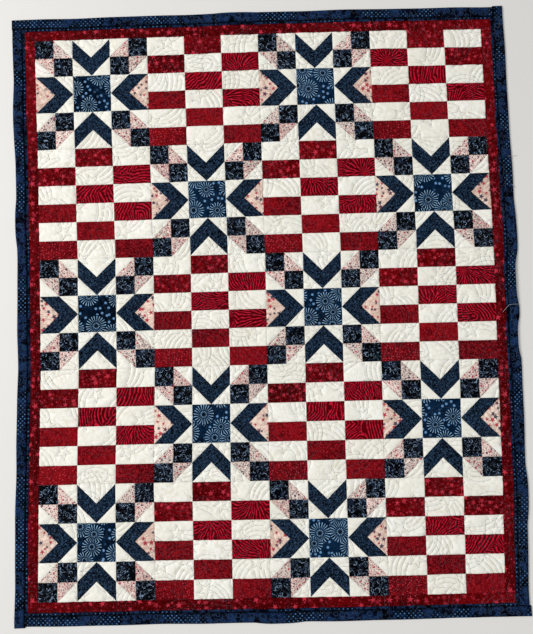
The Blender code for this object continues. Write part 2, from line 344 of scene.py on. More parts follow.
@dataclass(frozen=True)
class QuiltingPattern:
    """Edge-to-edge quilting: five-point stars, each with a tail of bent lines.

    The stars stand near the points of a staggered lattice. The way their tails point turns slowly
    over the quilt, as the sum of two sine waves, and a little at random.
    """

    plan: QuiltPlan
    pitch_across: float = 0.083
    pitch_along: float = 0.073
    jitter: float = 0.014
    turn_swing: float = 1.0
    turn_lengths: tuple[float, float] = (0.74, 0.86)
    turn_phases: tuple[float, float] = (0.8, 2.0)
    turn_jitter: float = 1.3
    star_outer: float = 0.0210
    star_inner: float = 0.0086
    tail_start: float = 0.0218
    tail_end: float = 0.0980
    tail_lines: int = 4
    # Angle between two lines of a tail, in radians, beside the star and at the far end
    spread_near: float = 0.50
    spread_far: float = 0.125
    bend: float = 0.55
    # Share of its length that a tail's line loses for each squared line away from the middle
    taper: float = 0.035
    path_step: float = 0.0045
    tail_step: float = 0.0052
    edge_margin: float = 0.0045
    # Distance to the stitching that stands for far away, and how far round a motif it is measured
    far: float = 0.03
    margin: float = 0.012

    @property
    def reach_across(self) -> float:
        """How far from the middle the quilting reaches across the quilt."""
        return self.plan.half_x + self.plan.border - self.edge_margin

    @property
    def reach_along(self) -> float:
        """How far from the middle the quilting reaches along the quilt."""
        return self.plan.half_y + self.plan.border - self.edge_margin

    def motifs(self) -> Array:
        """Place every star of the lattice that can reach the quilt.

        Returns:
            One row a star: plan x, plan y, the way of its tail in radians, and 1 or -1 for its bend.
        """
        columns = int((self.reach_across + self.tail_end) / self.pitch_across) + 1
        rows = int((self.reach_along + self.tail_end) / self.pitch_along) + 1
        column, row = np.meshgrid(np.arange(-columns, columns + 1), np.arange(-rows, rows + 1))
        x = (column + 0.5 * (row % 2)) * self.pitch_across
        x = x + self.jitter * (hashed(column, row, 1.0) - 0.5)
        y = row * self.pitch_along + self.jitter * (hashed(column, row, 2.0) - 0.5)
        way = TURN / 4
        for place, length, phase in zip((x, y), self.turn_lengths, self.turn_phases):
            way = way + self.turn_swing * np.sin(TURN * place / length + phase)
        way = way + self.turn_jitter * (hashed(column, row, 3.0) - 0.5)
        side = np.where(hashed(column, row, 4.0) < 0.5, -1.0, 1.0)
        near = np.abs(x) < self.reach_across + self.tail_end
        near &= np.abs(y) < self.reach_along + self.tail_end
        return np.stack([v[near] for v in (x, y, way, side)], axis=1)

    def star_outline(self) -> Array:
        """Outline of a star round the origin, with one tip pointing away from the tail.

        Returns:
            Points of the closed outline, one pair a row.
        """
        corners = np.arange(11)
        radius = np.where(corners % 2 == 0, self.star_outer, self.star_inner)
        angle = TURN / 2 + TURN / 10 * corners
        sharp = np.stack([radius * np.cos(angle), radius * np.sin(angle)], axis=1)
        side = math.dist(sharp[0], sharp[1])
        steps = max(1, round(side / self.path_step))
        places = np.arange(10 * steps + 1) / steps
        return np.stack([np.interp(places, corners, sharp[:, axis]) for axis in range(2)], axis=1)

    def tail(self) -> list[Array]:
        """Lines of a tail that points along x and bends to the left.

        At the distance d from the star, line j lies at the angle j * spread + bend * share**1.5,
        where share is how much of the tail is behind d. Lines are sewn two by two, out and back.

        Returns:
            The paths as arrays of points.
        """
        steps = int((self.tail_end - self.tail_start) / self.tail_step)
        middle = (self.tail_lines - 1) / 2
        lines = []
        for number in range(self.tail_lines):
            away = number - middle
            end = self.tail_end * (1 - self.taper * away**2)
            distance = np.linspace(self.tail_start, end, steps)
            share = (distance - self.tail_start) / (self.tail_end - self.tail_start)
            spread = self.spread_near + (self.spread_far - self.spread_near) * np.sqrt(share)
            angle = away * spread + self.bend * share**1.5
            lines.append(np.stack([distance * np.cos(angle), distance * np.sin(angle)], axis=1))
        pairs = [np.concatenate([out, back[::-1]]) for out, back in zip(lines[::2], lines[1::2])]
        return pairs + lines[len(lines) - len(lines) % 2:]

    def placed(self, local: Array, motif: Array) -> Array:
        """Mirror, turn and shift a local path to its motif.

        Args:
            local: points of the path.
            motif: a row of the motifs.

        Returns:
            Points of the path in the plan.
        """
        x, y, way, side = motif
        across = local[:, 1] * side
        return np.stack([
            x + local[:, 0] * math.cos(way) - across * math.sin(way),
            y + local[:, 0] * math.sin(way) + across * math.cos(way),
        ], axis=1)

    def cut(self, path: Array, stars: Array | None = None) -> list[Array]:
        """Keep the stretches of a path that lie on the cloth.

        Args:
            path: points of the path.
            stars: motifs whose stars the path leaves free, if any.

        Returns:
            The stretches as arrays of points.
        """
        inside = (np.abs(path[:, 0]) < self.reach_across) & (np.abs(path[:, 1]) < self.reach_along)
        if stars is not None:
            gap = np.hypot(path[:, 0, None] - stars[:, 0], path[:, 1, None] - stars[:, 1])
            inside &= (gap > self.star_outer).all(axis=1)
        edges = np.flatnonzero(np.diff(np.concatenate([[False], inside, [False]]).astype(int)))
        return [path[start:end] for start, end in zip(edges[::2], edges[1::2]) if end - start > 2]

    def star_paths(self) -> list[Array]:
        """Outlines of all the stars, in the plan."""
        outline = self.star_outline()
        return [piece for motif in self.motifs() for piece in self.cut(self.placed(outline, motif))]

    def tail_paths(self) -> list[Array]:
        """Lines of all the tails, in the plan.

        Returns:
            The paths as arrays of points.
        """
        lines, motifs = self.tail(), self.motifs()
        placed = [self.placed(line, motif) for motif in motifs for line in lines]
        return [piece for path in placed for piece in self.cut(path, motifs)]

    def distance(self, x_lines: Array, y_lines: Array) -> Array:
        """Distance from the nodes of a grid to the nearest stitching.

        Every motif is compared with the nodes within reach of it, segment by segment.

        Args:
            x_lines: plan positions of the grid's columns.
            y_lines: plan positions of the grid's rows.

        Returns:
            Distances in metres, one row of numbers for each row of the grid.
        """
        least = np.full((len(y_lines), len(x_lines)), self.far)
        reach = self.tail_end + self.margin
        outline, lines, motifs = self.star_outline(), self.tail(), self.motifs()
        for motif in motifs:
            left, right = np.searchsorted(x_lines, [motif[0] - reach, motif[0] + reach])
            low, high = np.searchsorted(y_lines, [motif[1] - reach, motif[1] + reach])
            if left == right or low == high:
                continue
            placed = [self.placed(outline, motif)]
            for line in lines:
                placed += self.cut(self.placed(line, motif), motifs)
            start = np.concatenate([path[:-1] for path in placed])
            run = np.concatenate([path[1:] for path in placed]) - start
            x, y = np.meshgrid(x_lines[left:right], y_lines[low:high])
            from_x = x.ravel()[:, None] - start[:, 0]
            from_y = y.ravel()[:, None] - start[:, 1]
            share = np.clip((from_x * run[:, 0] + from_y * run[:, 1]) / (run**2).sum(axis=1), 0.0, 1.0)
            squared = (from_x - share * run[:, 0]) ** 2 + (from_y - share * run[:, 1]) ** 2
            own = np.sqrt(squared.min(axis=1)).reshape(x.shape)
            least[low:high, left:right] = np.minimum(least[low:high, left:right], own)
        return least


@dataclass(frozen=True)
class Patchwork:
    """The patches inside the two kinds of block, in units from the block's upper left corner."""

    plan: QuiltPlan
    # Seams of a quarter of the star block, in units from the block's middle: across, up, across, up
    star_seams: tuple = (
        (1, 0, 1, 3), (2, 1, 2, 3), (3, 0, 3, 3), (0, 1, 3, 1), (1, 2, 3, 2), (0, 3, 3, 3),
        (1, 2, 2, 3), (2, 1, 3, 2), (0, 1, 1, 2), (0, 2, 1, 3), (0, 1, 0, 2),
        (1, 0, 2, 1), (2, 0, 3, 1), (1, 0, 2, 0),
    )
    # Red cloths of a stripe block's bars: (column, row) and the cloth
    red_bars: tuple = (
        ((0, 1), Fabric.STARRY), ((0, 3), Fabric.MOTTLED), ((0, 5), Fabric.DOTTED),
        ((1, 0), Fabric.STARRY), ((1, 2), Fabric.TIDE), ((1, 4), Fabric.MOTTLED),
        ((2, 1), Fabric.TIDE), ((2, 3), Fabric.TIDE), ((2, 5), Fabric.MOTTLED),
    )
    # Bars that differ from the rest: block column, block row, bar column, bar row, cloth
    other_bars: tuple = (
        (3, 0, 0, 1, Fabric.TIDE),
        (3, 0, 2, 1, Fabric.STARRY),
        (3, 4, 2, 1, Fabric.STARRY),
    )

    def star_patches(self, across: Array, down: Array) -> tuple[Array, Array]:
        """Name the cloth and the patch at points of a star block.

        Distances from the block's middle lines are used, because its four quarters are alike. The
        arms' patches are numbered from 100 and the centre square is 200.

        Args:
            across: units from the block's left edge.
            down: units from the block's upper edge.

        Returns:
            The cloth's number, and a number that is the same all over one patch.
        """
        side = np.abs(across - 3)
        height = np.abs(down - 3)
        least = np.minimum(side, height)
        most = np.maximum(side, height)
        cell = 2 * (6 * np.floor(down) + np.floor(across))
        cloth = np.full(np.shape(across), Fabric.CREAM.number)
        square = (least > 1) & ((most < 2) | (least > 2))
        blush = (least > 1) & ~square & (least - 1 > most - 2)
        cloth[square] = Fabric.SCROLL.number
        cloth[blush] = Fabric.BLUSH_DOTS.number
        patch = np.where(least > 1, cell + blush, 0)
        arm = (least < 1) & (most >= 1)
        upright = height > side
        arm_number = np.where(upright, np.where(down < 3, 0, 2), np.where(across > 3, 1, 3))
        half = np.where(upright, across > 3, down > 3)
        reach = most - 1
        chevron = arm & (reach >= least) & (reach < least + 1)
        tip = arm & (reach >= least + 1)
        cloth[chevron] = Fabric.NAVY.number
        cloth[tip & ~upright] = Fabric.BLUSH_STARS.number
        arm_patch = 100 + 10 * arm_number + np.where(chevron, 2, 0) + half
        patch = np.where(arm, np.where(tip, 104 + 10 * arm_number, arm_patch), patch)
        centre = most < 1
        cloth[centre] = Fabric.BURST.number
        return cloth, np.where(centre, 200, patch)

    def stripe_patches(self, across: Array, down: Array, column: int, row: int) -> tuple[Array, Array]:
        """Name the cloth and the patch at points of a stripe block.

        Args:
            across: units from the block's left edge.
            down: units from the block's upper edge.
            column: the block's column in the quilt, from 0.
            row: the block's row in the quilt, from 0.

        Returns:
            The cloth's number, and the bar's number.
        """
        table = np.full((3, 6), Fabric.CREAM.number)
        for place, cloth in self.red_bars:
            table[place] = cloth.number
        for block_column, block_row, bar_column, bar_row, cloth in self.other_bars:
            if (block_column, block_row) == (column, row):
                table[bar_column, bar_row] = cloth.number
        bar_column = np.clip(np.floor(across / 2), 0, 2).astype(int)
        bar_row = np.clip(np.floor(down), 0, 5).astype(int)
        return table[bar_column, bar_row], 6 * bar_column + bar_row

    def star_seam_distance(self, across: Array, down: Array) -> Array:
        """Distance in units from points of a star block to its nearest seam.

        Each point is folded into one quarter, and the least distance to the quarter's straight
        seams is taken.

        Args:
            across: units from the block's left edge.
            down: units from the block's upper edge.

        Returns:
            Distances in units.
        """
        side = np.abs(across - 3)
        height = np.abs(down - 3)
        least = np.full(np.shape(across), 9.0)
        for x0, y0, x1, y1 in self.star_seams:
            run_x, run_y = x1 - x0, y1 - y0
            share = ((side - x0) * run_x + (height - y0) * run_y) / (run_x**2 + run_y**2)
            share = np.clip(share, 0.0, 1.0)
            least = np.minimum(least, np.hypot(side - x0 - share * run_x, height - y0 - share * run_y))
        return least

    def stripe_seam_distance(self, across: Array, down: Array) -> Array:
        """Distance in units from points of a stripe block to its nearest seam."""
        upright = 2 * np.abs(across / 2 - np.round(across / 2))
        return np.minimum(upright, np.abs(down - np.round(down)))


@dataclass(frozen=True)
class Panel:
    """One CAD node's place in the plan, and the flat size of its finished cloth."""

    node: str
    kind: PanelKind
    left: float
    right: float
    lower: float
    upper: float
    flat: tuple[float, float]
    side: Side | None = None
    column: int = 0
    row: int = 0

    @property
    def level(self) -> bool:
        """True for a strip that runs across the quilt."""
        return self.side in (Side.TOP, Side.BOTTOM)

    def gap(self, side: Side, x: Array, y: Array) -> Array:
        """Distance from plan points to the panel's edge on one side.

        Args:
            side: the edge's side.
            x: plan positions across.
            y: plan positions along.

        Returns:
            Distances in metres.
        """
        if side.upright:
            return x - self.left if side is Side.LEFT else self.right - x
        return y - self.lower if side is Side.BOTTOM else self.upper - y


@dataclass(frozen=True)
class PanelLayout:
    """Lists the panels: twenty blocks, two borders and a binding that laps round like a pinwheel."""

    plan: QuiltPlan
    # How far each binding strip sticks out past the corner that it covers
    stick_out: tuple = (
        (Side.TOP, 0.0012), (Side.RIGHT, 0.0030), (Side.BOTTOM, 0.0040), (Side.LEFT, 0.0040)
    )
    # Least flat width of a strip, with its two walls
    least_flat: float = 0.0105

    def blocks(self) -> list[Panel]:
        """List the star and stripe blocks, by turns, with a star block at the upper left.

        Returns:
            The twenty blocks, row by row.
        """
        plan = self.plan
        wide = plan.block_units * plan.unit_across
        long = plan.block_units * plan.unit_along
        made = []
        for row in range(plan.rows):
            for column in range(plan.columns):
                star = (row + column) % 2 == 0
                kind = PanelKind.STAR_BLOCK if star else PanelKind.STRIPE_BLOCK
                name = f"{'star' if star else 'stripe'}_block_c{column + 1}_r{row + 1}"
                left = column * wide - plan.half_x
                upper = plan.half_y - row * long
                edges = (left, left + wide, upper - long, upper)
                made.append(Panel(name, kind, *edges, column=column, row=row, flat=(wide, long)))
        return made

    def strip(
        self, kind: PanelKind, side: Side, near: float, far: float, ends: tuple[float, float]
    ) -> Panel:
        """Lay out one border strip.

        Args:
            kind: the kind of strip.
            side: the side of the quilt that it lies on.
            near: distance of its inner edge from the pieced middle.
            far: distance of its outer edge from the pieced middle.
            ends: where it starts and ends along its side, from left to right or from low to high.

        Returns:
            The panel.
        """
        half = self.plan.half(side)
        start, end = ends
        edges = {
            Side.RIGHT: (half + near, half + far, start, end),
            Side.LEFT: (-half - far, -half - near, start, end),
            Side.TOP: (start, end, half + near, half + far),
            Side.BOTTOM: (start, end, -half - far, -half - near),
        }[side]
        stem = {PanelKind.RED_BORDER: "red_border_", PanelKind.NAVY_BORDER: "navy_border_"}
        name = stem.get(kind, "binding_") + side.value
        flat = (max(far - near, self.least_flat), end - start)
        return Panel(name, kind, *edges, side=side, flat=flat)

    def strips(self) -> list[Panel]:
        """List the red strips, the narrow navy strips and the binding strips of the four sides.

        Returns:
            The twelve strips, side by side.
        """
        plan = self.plan
        made = []
        for side in Side:
            length = plan.length(side)
            red_end = length + (0.0 if side.upright else plan.red_width)
            navy_end = length + (plan.red_width if side.upright else plan.navy_edge)
            before = length + plan.navy_edge
            covers = length + plan.border + dict(self.stick_out)[side]
            binding_ends = (-covers, before) if side in (Side.TOP, Side.LEFT) else (-before, covers)
            for kind, near, far, ends in (
                (PanelKind.RED_BORDER, 0.0, plan.red_width, (-red_end, red_end)),
                (PanelKind.NAVY_BORDER, plan.red_width, plan.navy_edge, (-navy_end, navy_end)),
                (PanelKind.BINDING, plan.navy_edge, plan.border, binding_ends),
            ):
                made.append(self.strip(kind, side, near, far, ends))
        return made

    def all(self) -> list[Panel]:
        """List every panel."""
        return self.blocks() + self.strips()


@dataclass
class QuiltSurface:
    """The upper face of the whole quilt, on one grid of the even plan.

    Grid steps are fine beside the seams and wider between them, and alike across and along, so that
    the seams at 45 degrees run from corner to corner of the cells.
    """

    plan: QuiltPlan
    cloth: LyingCloth
    pattern: QuiltingPattern
    patchwork: Patchwork
    layout: PanelLayout
    # Steps from a unit's edge to its middle, in parts of a fifty-millimetre unit
    half_unit_steps: tuple = (1.0, 1.8, 2.6, 3.0, 3.2, 3.3, 3.35, 3.375, 3.375)
    # Border grid lines, millimetres out from the pieced middle
    border_lines: tuple = (
        1.0, 2.6, 5.0, 7.8, 10.6, 13.5, 16.4, 19.2, 22.0, 24.4, 26.0, 27.0, 28.0, 29.4, 31.4, 33.3, 34.5,
        35.1, 36.0, 37.4, 39.6, 42.3, 45.0, 47.8, 50.6, 53.2, 55.6, 57.6, 59.2, 60.4, 61.2, 61.7, 62.0,
    )
    body: float = 0.00255
    puff: float = 0.00215
    puff_reach: float = 0.0038
    puff_round: float = 0.0012
    ditch: float = 0.00045
    ditch_reach: float = 0.0011
    dip: float = 0.00040
    dip_reach: float = 0.0050
    # Least thickness at the rim of the binding, where a seam's groove meets the rolled edge
    least_edge: float = 0.0002
    crinkle: float = 0.00038
    crinkle_least: float = 0.45
    crinkle_reach: float = 0.005
    unevenness: float = 0.00030
    # Waves of the crinkles and of the unevenness: how many, shortest, longest, and their seed
    fine_waves: tuple = (14, 0.010, 0.024, 11)
    slow_waves: tuple = (8, 0.060, 0.240, 12)
    # Navy strip: how much higher it lies, and how much of the relief it keeps
    navy_rise: float = 0.0007
    navy_relief: float = 0.25
    # Binding: height of its inner side, the folded edge's rise, and the drop over its rolled rim
    binding_body: float = 0.0027
    fold_rise: float = 0.00145
    fold_reach: float = 0.0009
    fold_swell: float = 0.00025
    fold_swell_place: float = 0.003
    fold_swell_reach: float = 0.002
    roll_width: float = 0.0055
    roll_drop: float = 0.0024
    # How much of the relief and of the grooves the binding keeps, and where its rim is calm
    binding_relief: float = 0.30
    binding_groove: float = 0.8
    calm_reach: float = 0.006
    # How far the painted shade beside a seam reaches, beside the binding and elsewhere
    binding_shade_reach: float = 0.0025
    shade_reach: float = 0.0014
    x_lines: Array = field(init=False)
    y_lines: Array = field(init=False)
    height: Array = field(init=False)

    def __post_init__(self) -> None:
        """Lay the grid lines and work out the heights."""
        plan = self.plan
        self.x_lines = self.grid_lines(plan.half_x, plan.columns, plan.unit_across, Side.TOP)
        self.y_lines = self.grid_lines(plan.half_y, plan.rows, plan.unit_along, Side.LEFT)
        self.work_out_heights()

    def grid_lines(self, half: float, blocks: int, unit: float, low_strip: Side) -> Array:
        """Lay the grid lines of one direction, from the low end to the high one.

        Args:
            half: half the size of the pieced middle.
            blocks: number of blocks in the pieced middle.
            unit: size of one unit.
            low_strip: side whose binding strip sticks out at the low end; its opposite sticks out
                at the high end.

        Returns:
            Plan positions in rising order.
        """
        stick_out = dict(self.layout.stick_out)
        low_end, high_end = stick_out[low_strip], stick_out[low_strip.turned(2)]
        steps = np.array(self.half_unit_steps)
        steps = np.concatenate([steps, steps[::-1]])
        inside_unit = np.concatenate([[0.0], np.cumsum(steps)[:-1]]) / steps.sum()
        units = np.arange(blocks * self.plan.block_units)
        middle = (units[:, None] + inside_unit[None, :]).ravel() * unit - half
        out = np.array(self.border_lines) * MILLIMETRE
        low = -(half + np.concatenate([out, [self.plan.border + low_end]]))[::-1]
        high = half + np.concatenate([[0.0], out, [self.plan.border + high_end]])
        return np.concatenate([low, middle, high])

    def span(self, panel: Panel) -> tuple[int, int, int, int]:
        """First and last grid line of a panel, across and along.

        Args:
            panel: the panel.

        Returns:
            First and last across, then first and last along.
        """
        columns = [int(np.argmin(np.abs(self.x_lines - edge))) for edge in (panel.left, panel.right)]
        rows = [int(np.argmin(np.abs(self.y_lines - edge))) for edge in (panel.lower, panel.upper)]
        return columns[0], columns[1], rows[0], rows[1]

    def units(self, panel: Panel, x: Array, y: Array) -> tuple[Array, Array]:
        """Plan points as units from a block's upper left corner."""
        return (x - panel.left) / self.plan.unit_across, (panel.upper - y) / self.plan.unit_along

    def seam_distance(self, panel: Panel, x: Array, y: Array) -> Array:
        """Distance from points of a panel to its nearest seam, the panel's own edges included.

        The outer edge of a binding strip and the end that sticks out aren't seams.

        Args:
            panel: the panel.
            x: plan positions across.
            y: plan positions along.

        Returns:
            Distances in metres.
        """
        unit = (self.plan.unit_across + self.plan.unit_along) / 2
        if panel.kind is PanelKind.STAR_BLOCK:
            return unit * self.patchwork.star_seam_distance(*self.units(panel, x, y))
        if panel.kind is PanelKind.STRIPE_BLOCK:
            return unit * self.patchwork.stripe_seam_distance(*self.units(panel, x, y))
        sides = list(Side)
        if panel.kind is PanelKind.BINDING:
            sides.remove(panel.side)
            sides.remove(panel.side.turned(1))
        return np.min([panel.gap(side, x, y) for side in sides], axis=0)

    def seam_shade_nearness(self, panel: Panel, x: Array, y: Array) -> Array:
        """Nearness to the seams that get painted shade: 1 on a seam, fading to 0 beside it.

        The narrow navy strip gets painted shadow only beside the binding, which stands higher.

        Args:
            panel: the panel.
            x: plan positions across.
            y: plan positions along.

        Returns:
            Numbers from 0 to 1.
        """
        if panel.kind is PanelKind.NAVY_BORDER:
            return np.exp(-panel.gap(panel.side, x, y) / self.binding_shade_reach)
        reach = self.binding_shade_reach if panel.kind is PanelKind.BINDING else self.shade_reach
        return np.exp(-self.seam_distance(panel, x, y) / reach)

    def waves(self, x: Array, y: Array, count: int, shortest: float, longest: float, seed: int) -> Array:
        """Add up seeded sine waves of random direction, length and phase.

        Args:
            x: plan positions across.
            y: plan positions along.
            count: number of waves.
            shortest: least wave length.
            longest: greatest wave length.
            seed: picks the set of waves.

        Returns:
            Heights, mostly between -1 and 1.
        """
        random = np.random.default_rng(seed)
        total = np.zeros(np.shape(x))
        for _ in range(count):
            angle = random.uniform(0, TURN)
            turns = TURN / random.uniform(shortest, longest)
            phase = random.uniform(0, TURN)
            total += np.sin(turns * (math.cos(angle) * x + math.sin(angle) * y) + phase)
        return total / math.sqrt(count)

    def relief(self, x: Array, y: Array) -> Array:
        """Puff of the filling between the stitching, with fine crinkles and slow unevenness.

        The puff is 1 - exp(-d / reach), where d is the distance to the stitching, rounded near 0.

        Args:
            x: plan positions across.
            y: plan positions along.

        Returns:
            Heights above the body in metres.
        """
        distance = self.pattern.distance(self.x_lines, self.y_lines)
        rounded = np.sqrt(distance**2 + self.puff_round**2) - self.puff_round
        puff = 1 - np.exp(-rounded / self.puff_reach)
        near = np.exp(-distance / self.crinkle_reach)
        share = self.crinkle_least + (1 - self.crinkle_least) * near
        fine = self.waves(x, y, *self.fine_waves) * share
        slow = self.waves(x, y, *self.slow_waves)
        return self.puff * puff + self.crinkle * fine + self.unevenness * slow

    def binding_profile(self, inwards: Array, outwards: Array) -> Array:
        """Height of the binding across its width.

        A folded edge rises at the inner side, and the outer edge is a quarter of an ellipse.

        Args:
            inwards: distance from the strip's outer edge or end.
            outwards: distance from the strip's inner edge.

        Returns:
            Heights in metres.
        """
        fold = self.fold_rise * (1 - np.exp(-outwards / self.fold_reach))
        beside_swell = (outwards - self.fold_swell_place) / self.fold_swell_reach
        fold = fold + self.fold_swell * np.exp(-(beside_swell**2))
        beyond_roll = 1 - np.clip(inwards / self.roll_width, 0.0, 1.0)
        roll = 1 - np.sqrt(np.clip(1 - beyond_roll**2, 0.0, 1.0))
        return self.binding_body + fold - self.roll_drop * roll

    def panel_height(self, panel: Panel, x: Array, y: Array, relief: Array, seam: Array) -> Array:
        """Height of one panel's upper face.

        Args:
            panel: the panel.
            x: plan positions across.
            y: plan positions along.
            relief: quilting relief at the points.
            seam: distance to the nearest seam.

        Returns:
            Heights in metres.
        """
        groove = self.ditch * np.exp(-seam / self.ditch_reach)
        dip = self.dip * np.exp(-seam / self.dip_reach)
        if panel.kind in (PanelKind.STAR_BLOCK, PanelKind.STRIPE_BLOCK, PanelKind.RED_BORDER):
            return self.body + relief - groove - dip
        if panel.kind is PanelKind.NAVY_BORDER:
            return self.body + self.navy_rise + self.navy_relief * relief - groove
        outwards = panel.gap(panel.side.turned(2), x, y)
        end = panel.gap(panel.side.turned(1), x, y)
        inwards = np.minimum(self.plan.binding_width - outwards, end)
        calm = self.binding_relief * np.clip(inwards / self.calm_reach, 0.0, 1.0)
        folded = self.binding_profile(inwards, outwards) + calm * relief - self.binding_groove * groove
        return np.maximum(folded, self.least_edge)

    def work_out_heights(self) -> None:
        """Fill the grid of heights, panel by panel."""
        x, y = np.meshgrid(self.x_lines, self.y_lines)
        relief = self.relief(x, y)
        self.height = np.full(x.shape, np.inf)
        for panel in self.layout.all():
            left, right, low, high = self.span(panel)
            part = (slice(low, high + 1), slice(left, right + 1))
            distance = self.seam_distance(panel, x[part], y[part])
            own = self.panel_height(panel, x[part], y[part], relief[part], distance)
            self.height[part] = np.minimum(self.height[part], own)
        self.height[np.isinf(self.height)] = 0.0

    def height_at(self, x: Array, y: Array) -> Array:
        """Height of the upper face at plan points, blended between the four grid nodes round each.

        Args:
            x: plan positions across.
            y: plan positions along.

        Returns:
            Heights in metres, without the lift.
        """
        i = np.clip(np.searchsorted(self.x_lines, x) - 1, 0, len(self.x_lines) - 2)
        j = np.clip(np.searchsorted(self.y_lines, y) - 1, 0, len(self.y_lines) - 2)
        right = np.clip((x - self.x_lines[i]) / (self.x_lines[i + 1] - self.x_lines[i]), 0, 1)
        up = np.clip((y - self.y_lines[j]) / (self.y_lines[j + 1] - self.y_lines[j]), 0, 1)
        low = self.height[j, i] * (1 - right) + self.height[j, i + 1] * right
        high = self.height[j + 1, i] * (1 - right) + self.height[j + 1, i + 1] * right
        return low * (1 - up) + high * up


@dataclass(frozen=True)
class MeshParts:
    """Points, faces and per-corner values of one closed mesh."""

    points: Array
    corners: Array
    face_sizes: Array
    cloths: Array
    print_uv: Array
    bake_uv: Array
    # Strength of the painted seam shade at each point, read by the cloths' shaders
    seam: Array

    def build(
        self, name: str, materials: list[bpy.types.Material], sharp_from: float = 50.0
    ) -> bpy.types.Object:
        """Put the parts into a smooth-shaded mesh object.

        Args:
            name: the object's name.
            materials: the materials that the face numbers in cloths point to.
            sharp_from: edges that bend by more degrees than this stay sharp.

        Returns:
            The object, linked to the scene.
        """
        mesh = bpy.data.meshes.new(name)
        mesh.vertices.add(len(self.points))
        mesh.vertices.foreach_set("co", self.points.astype(np.float32).ravel())
        mesh.loops.add(len(self.corners))
        mesh.loops.foreach_set("vertex_index", self.corners.astype(np.int32))
        mesh.polygons.add(len(self.face_sizes))
        starts = np.concatenate([[0], np.cumsum(self.face_sizes)[:-1]])
        mesh.polygons.foreach_set("loop_start", starts.astype(np.int32))
        for material in materials:
            mesh.materials.append(material)
        mesh.polygons.foreach_set("material_index", self.cloths.astype(np.int32))
        mesh.update(calc_edges=True)
        for uv_name, values in (("print", self.print_uv), ("OFBake", self.bake_uv)):
            layer = mesh.uv_layers.new(name=uv_name)
            layer.uv.foreach_set("vector", values.astype(np.float32).ravel())
        # The seam attribute holds the strength of the painted seam shade
        seam_shade_strength = mesh.attributes.new("seam", "FLOAT", "POINT")
        seam_shade_strength.data.foreach_set("value", self.seam.astype(np.float32))
        mesh.validate()
        mesh.shade_smooth()
        mesh.set_sharp_from_angle(angle=math.radians(sharp_from))
        item = bpy.data.objects.new(name, mesh)
        bpy.context.scene.collection.objects.link(item)
        return item


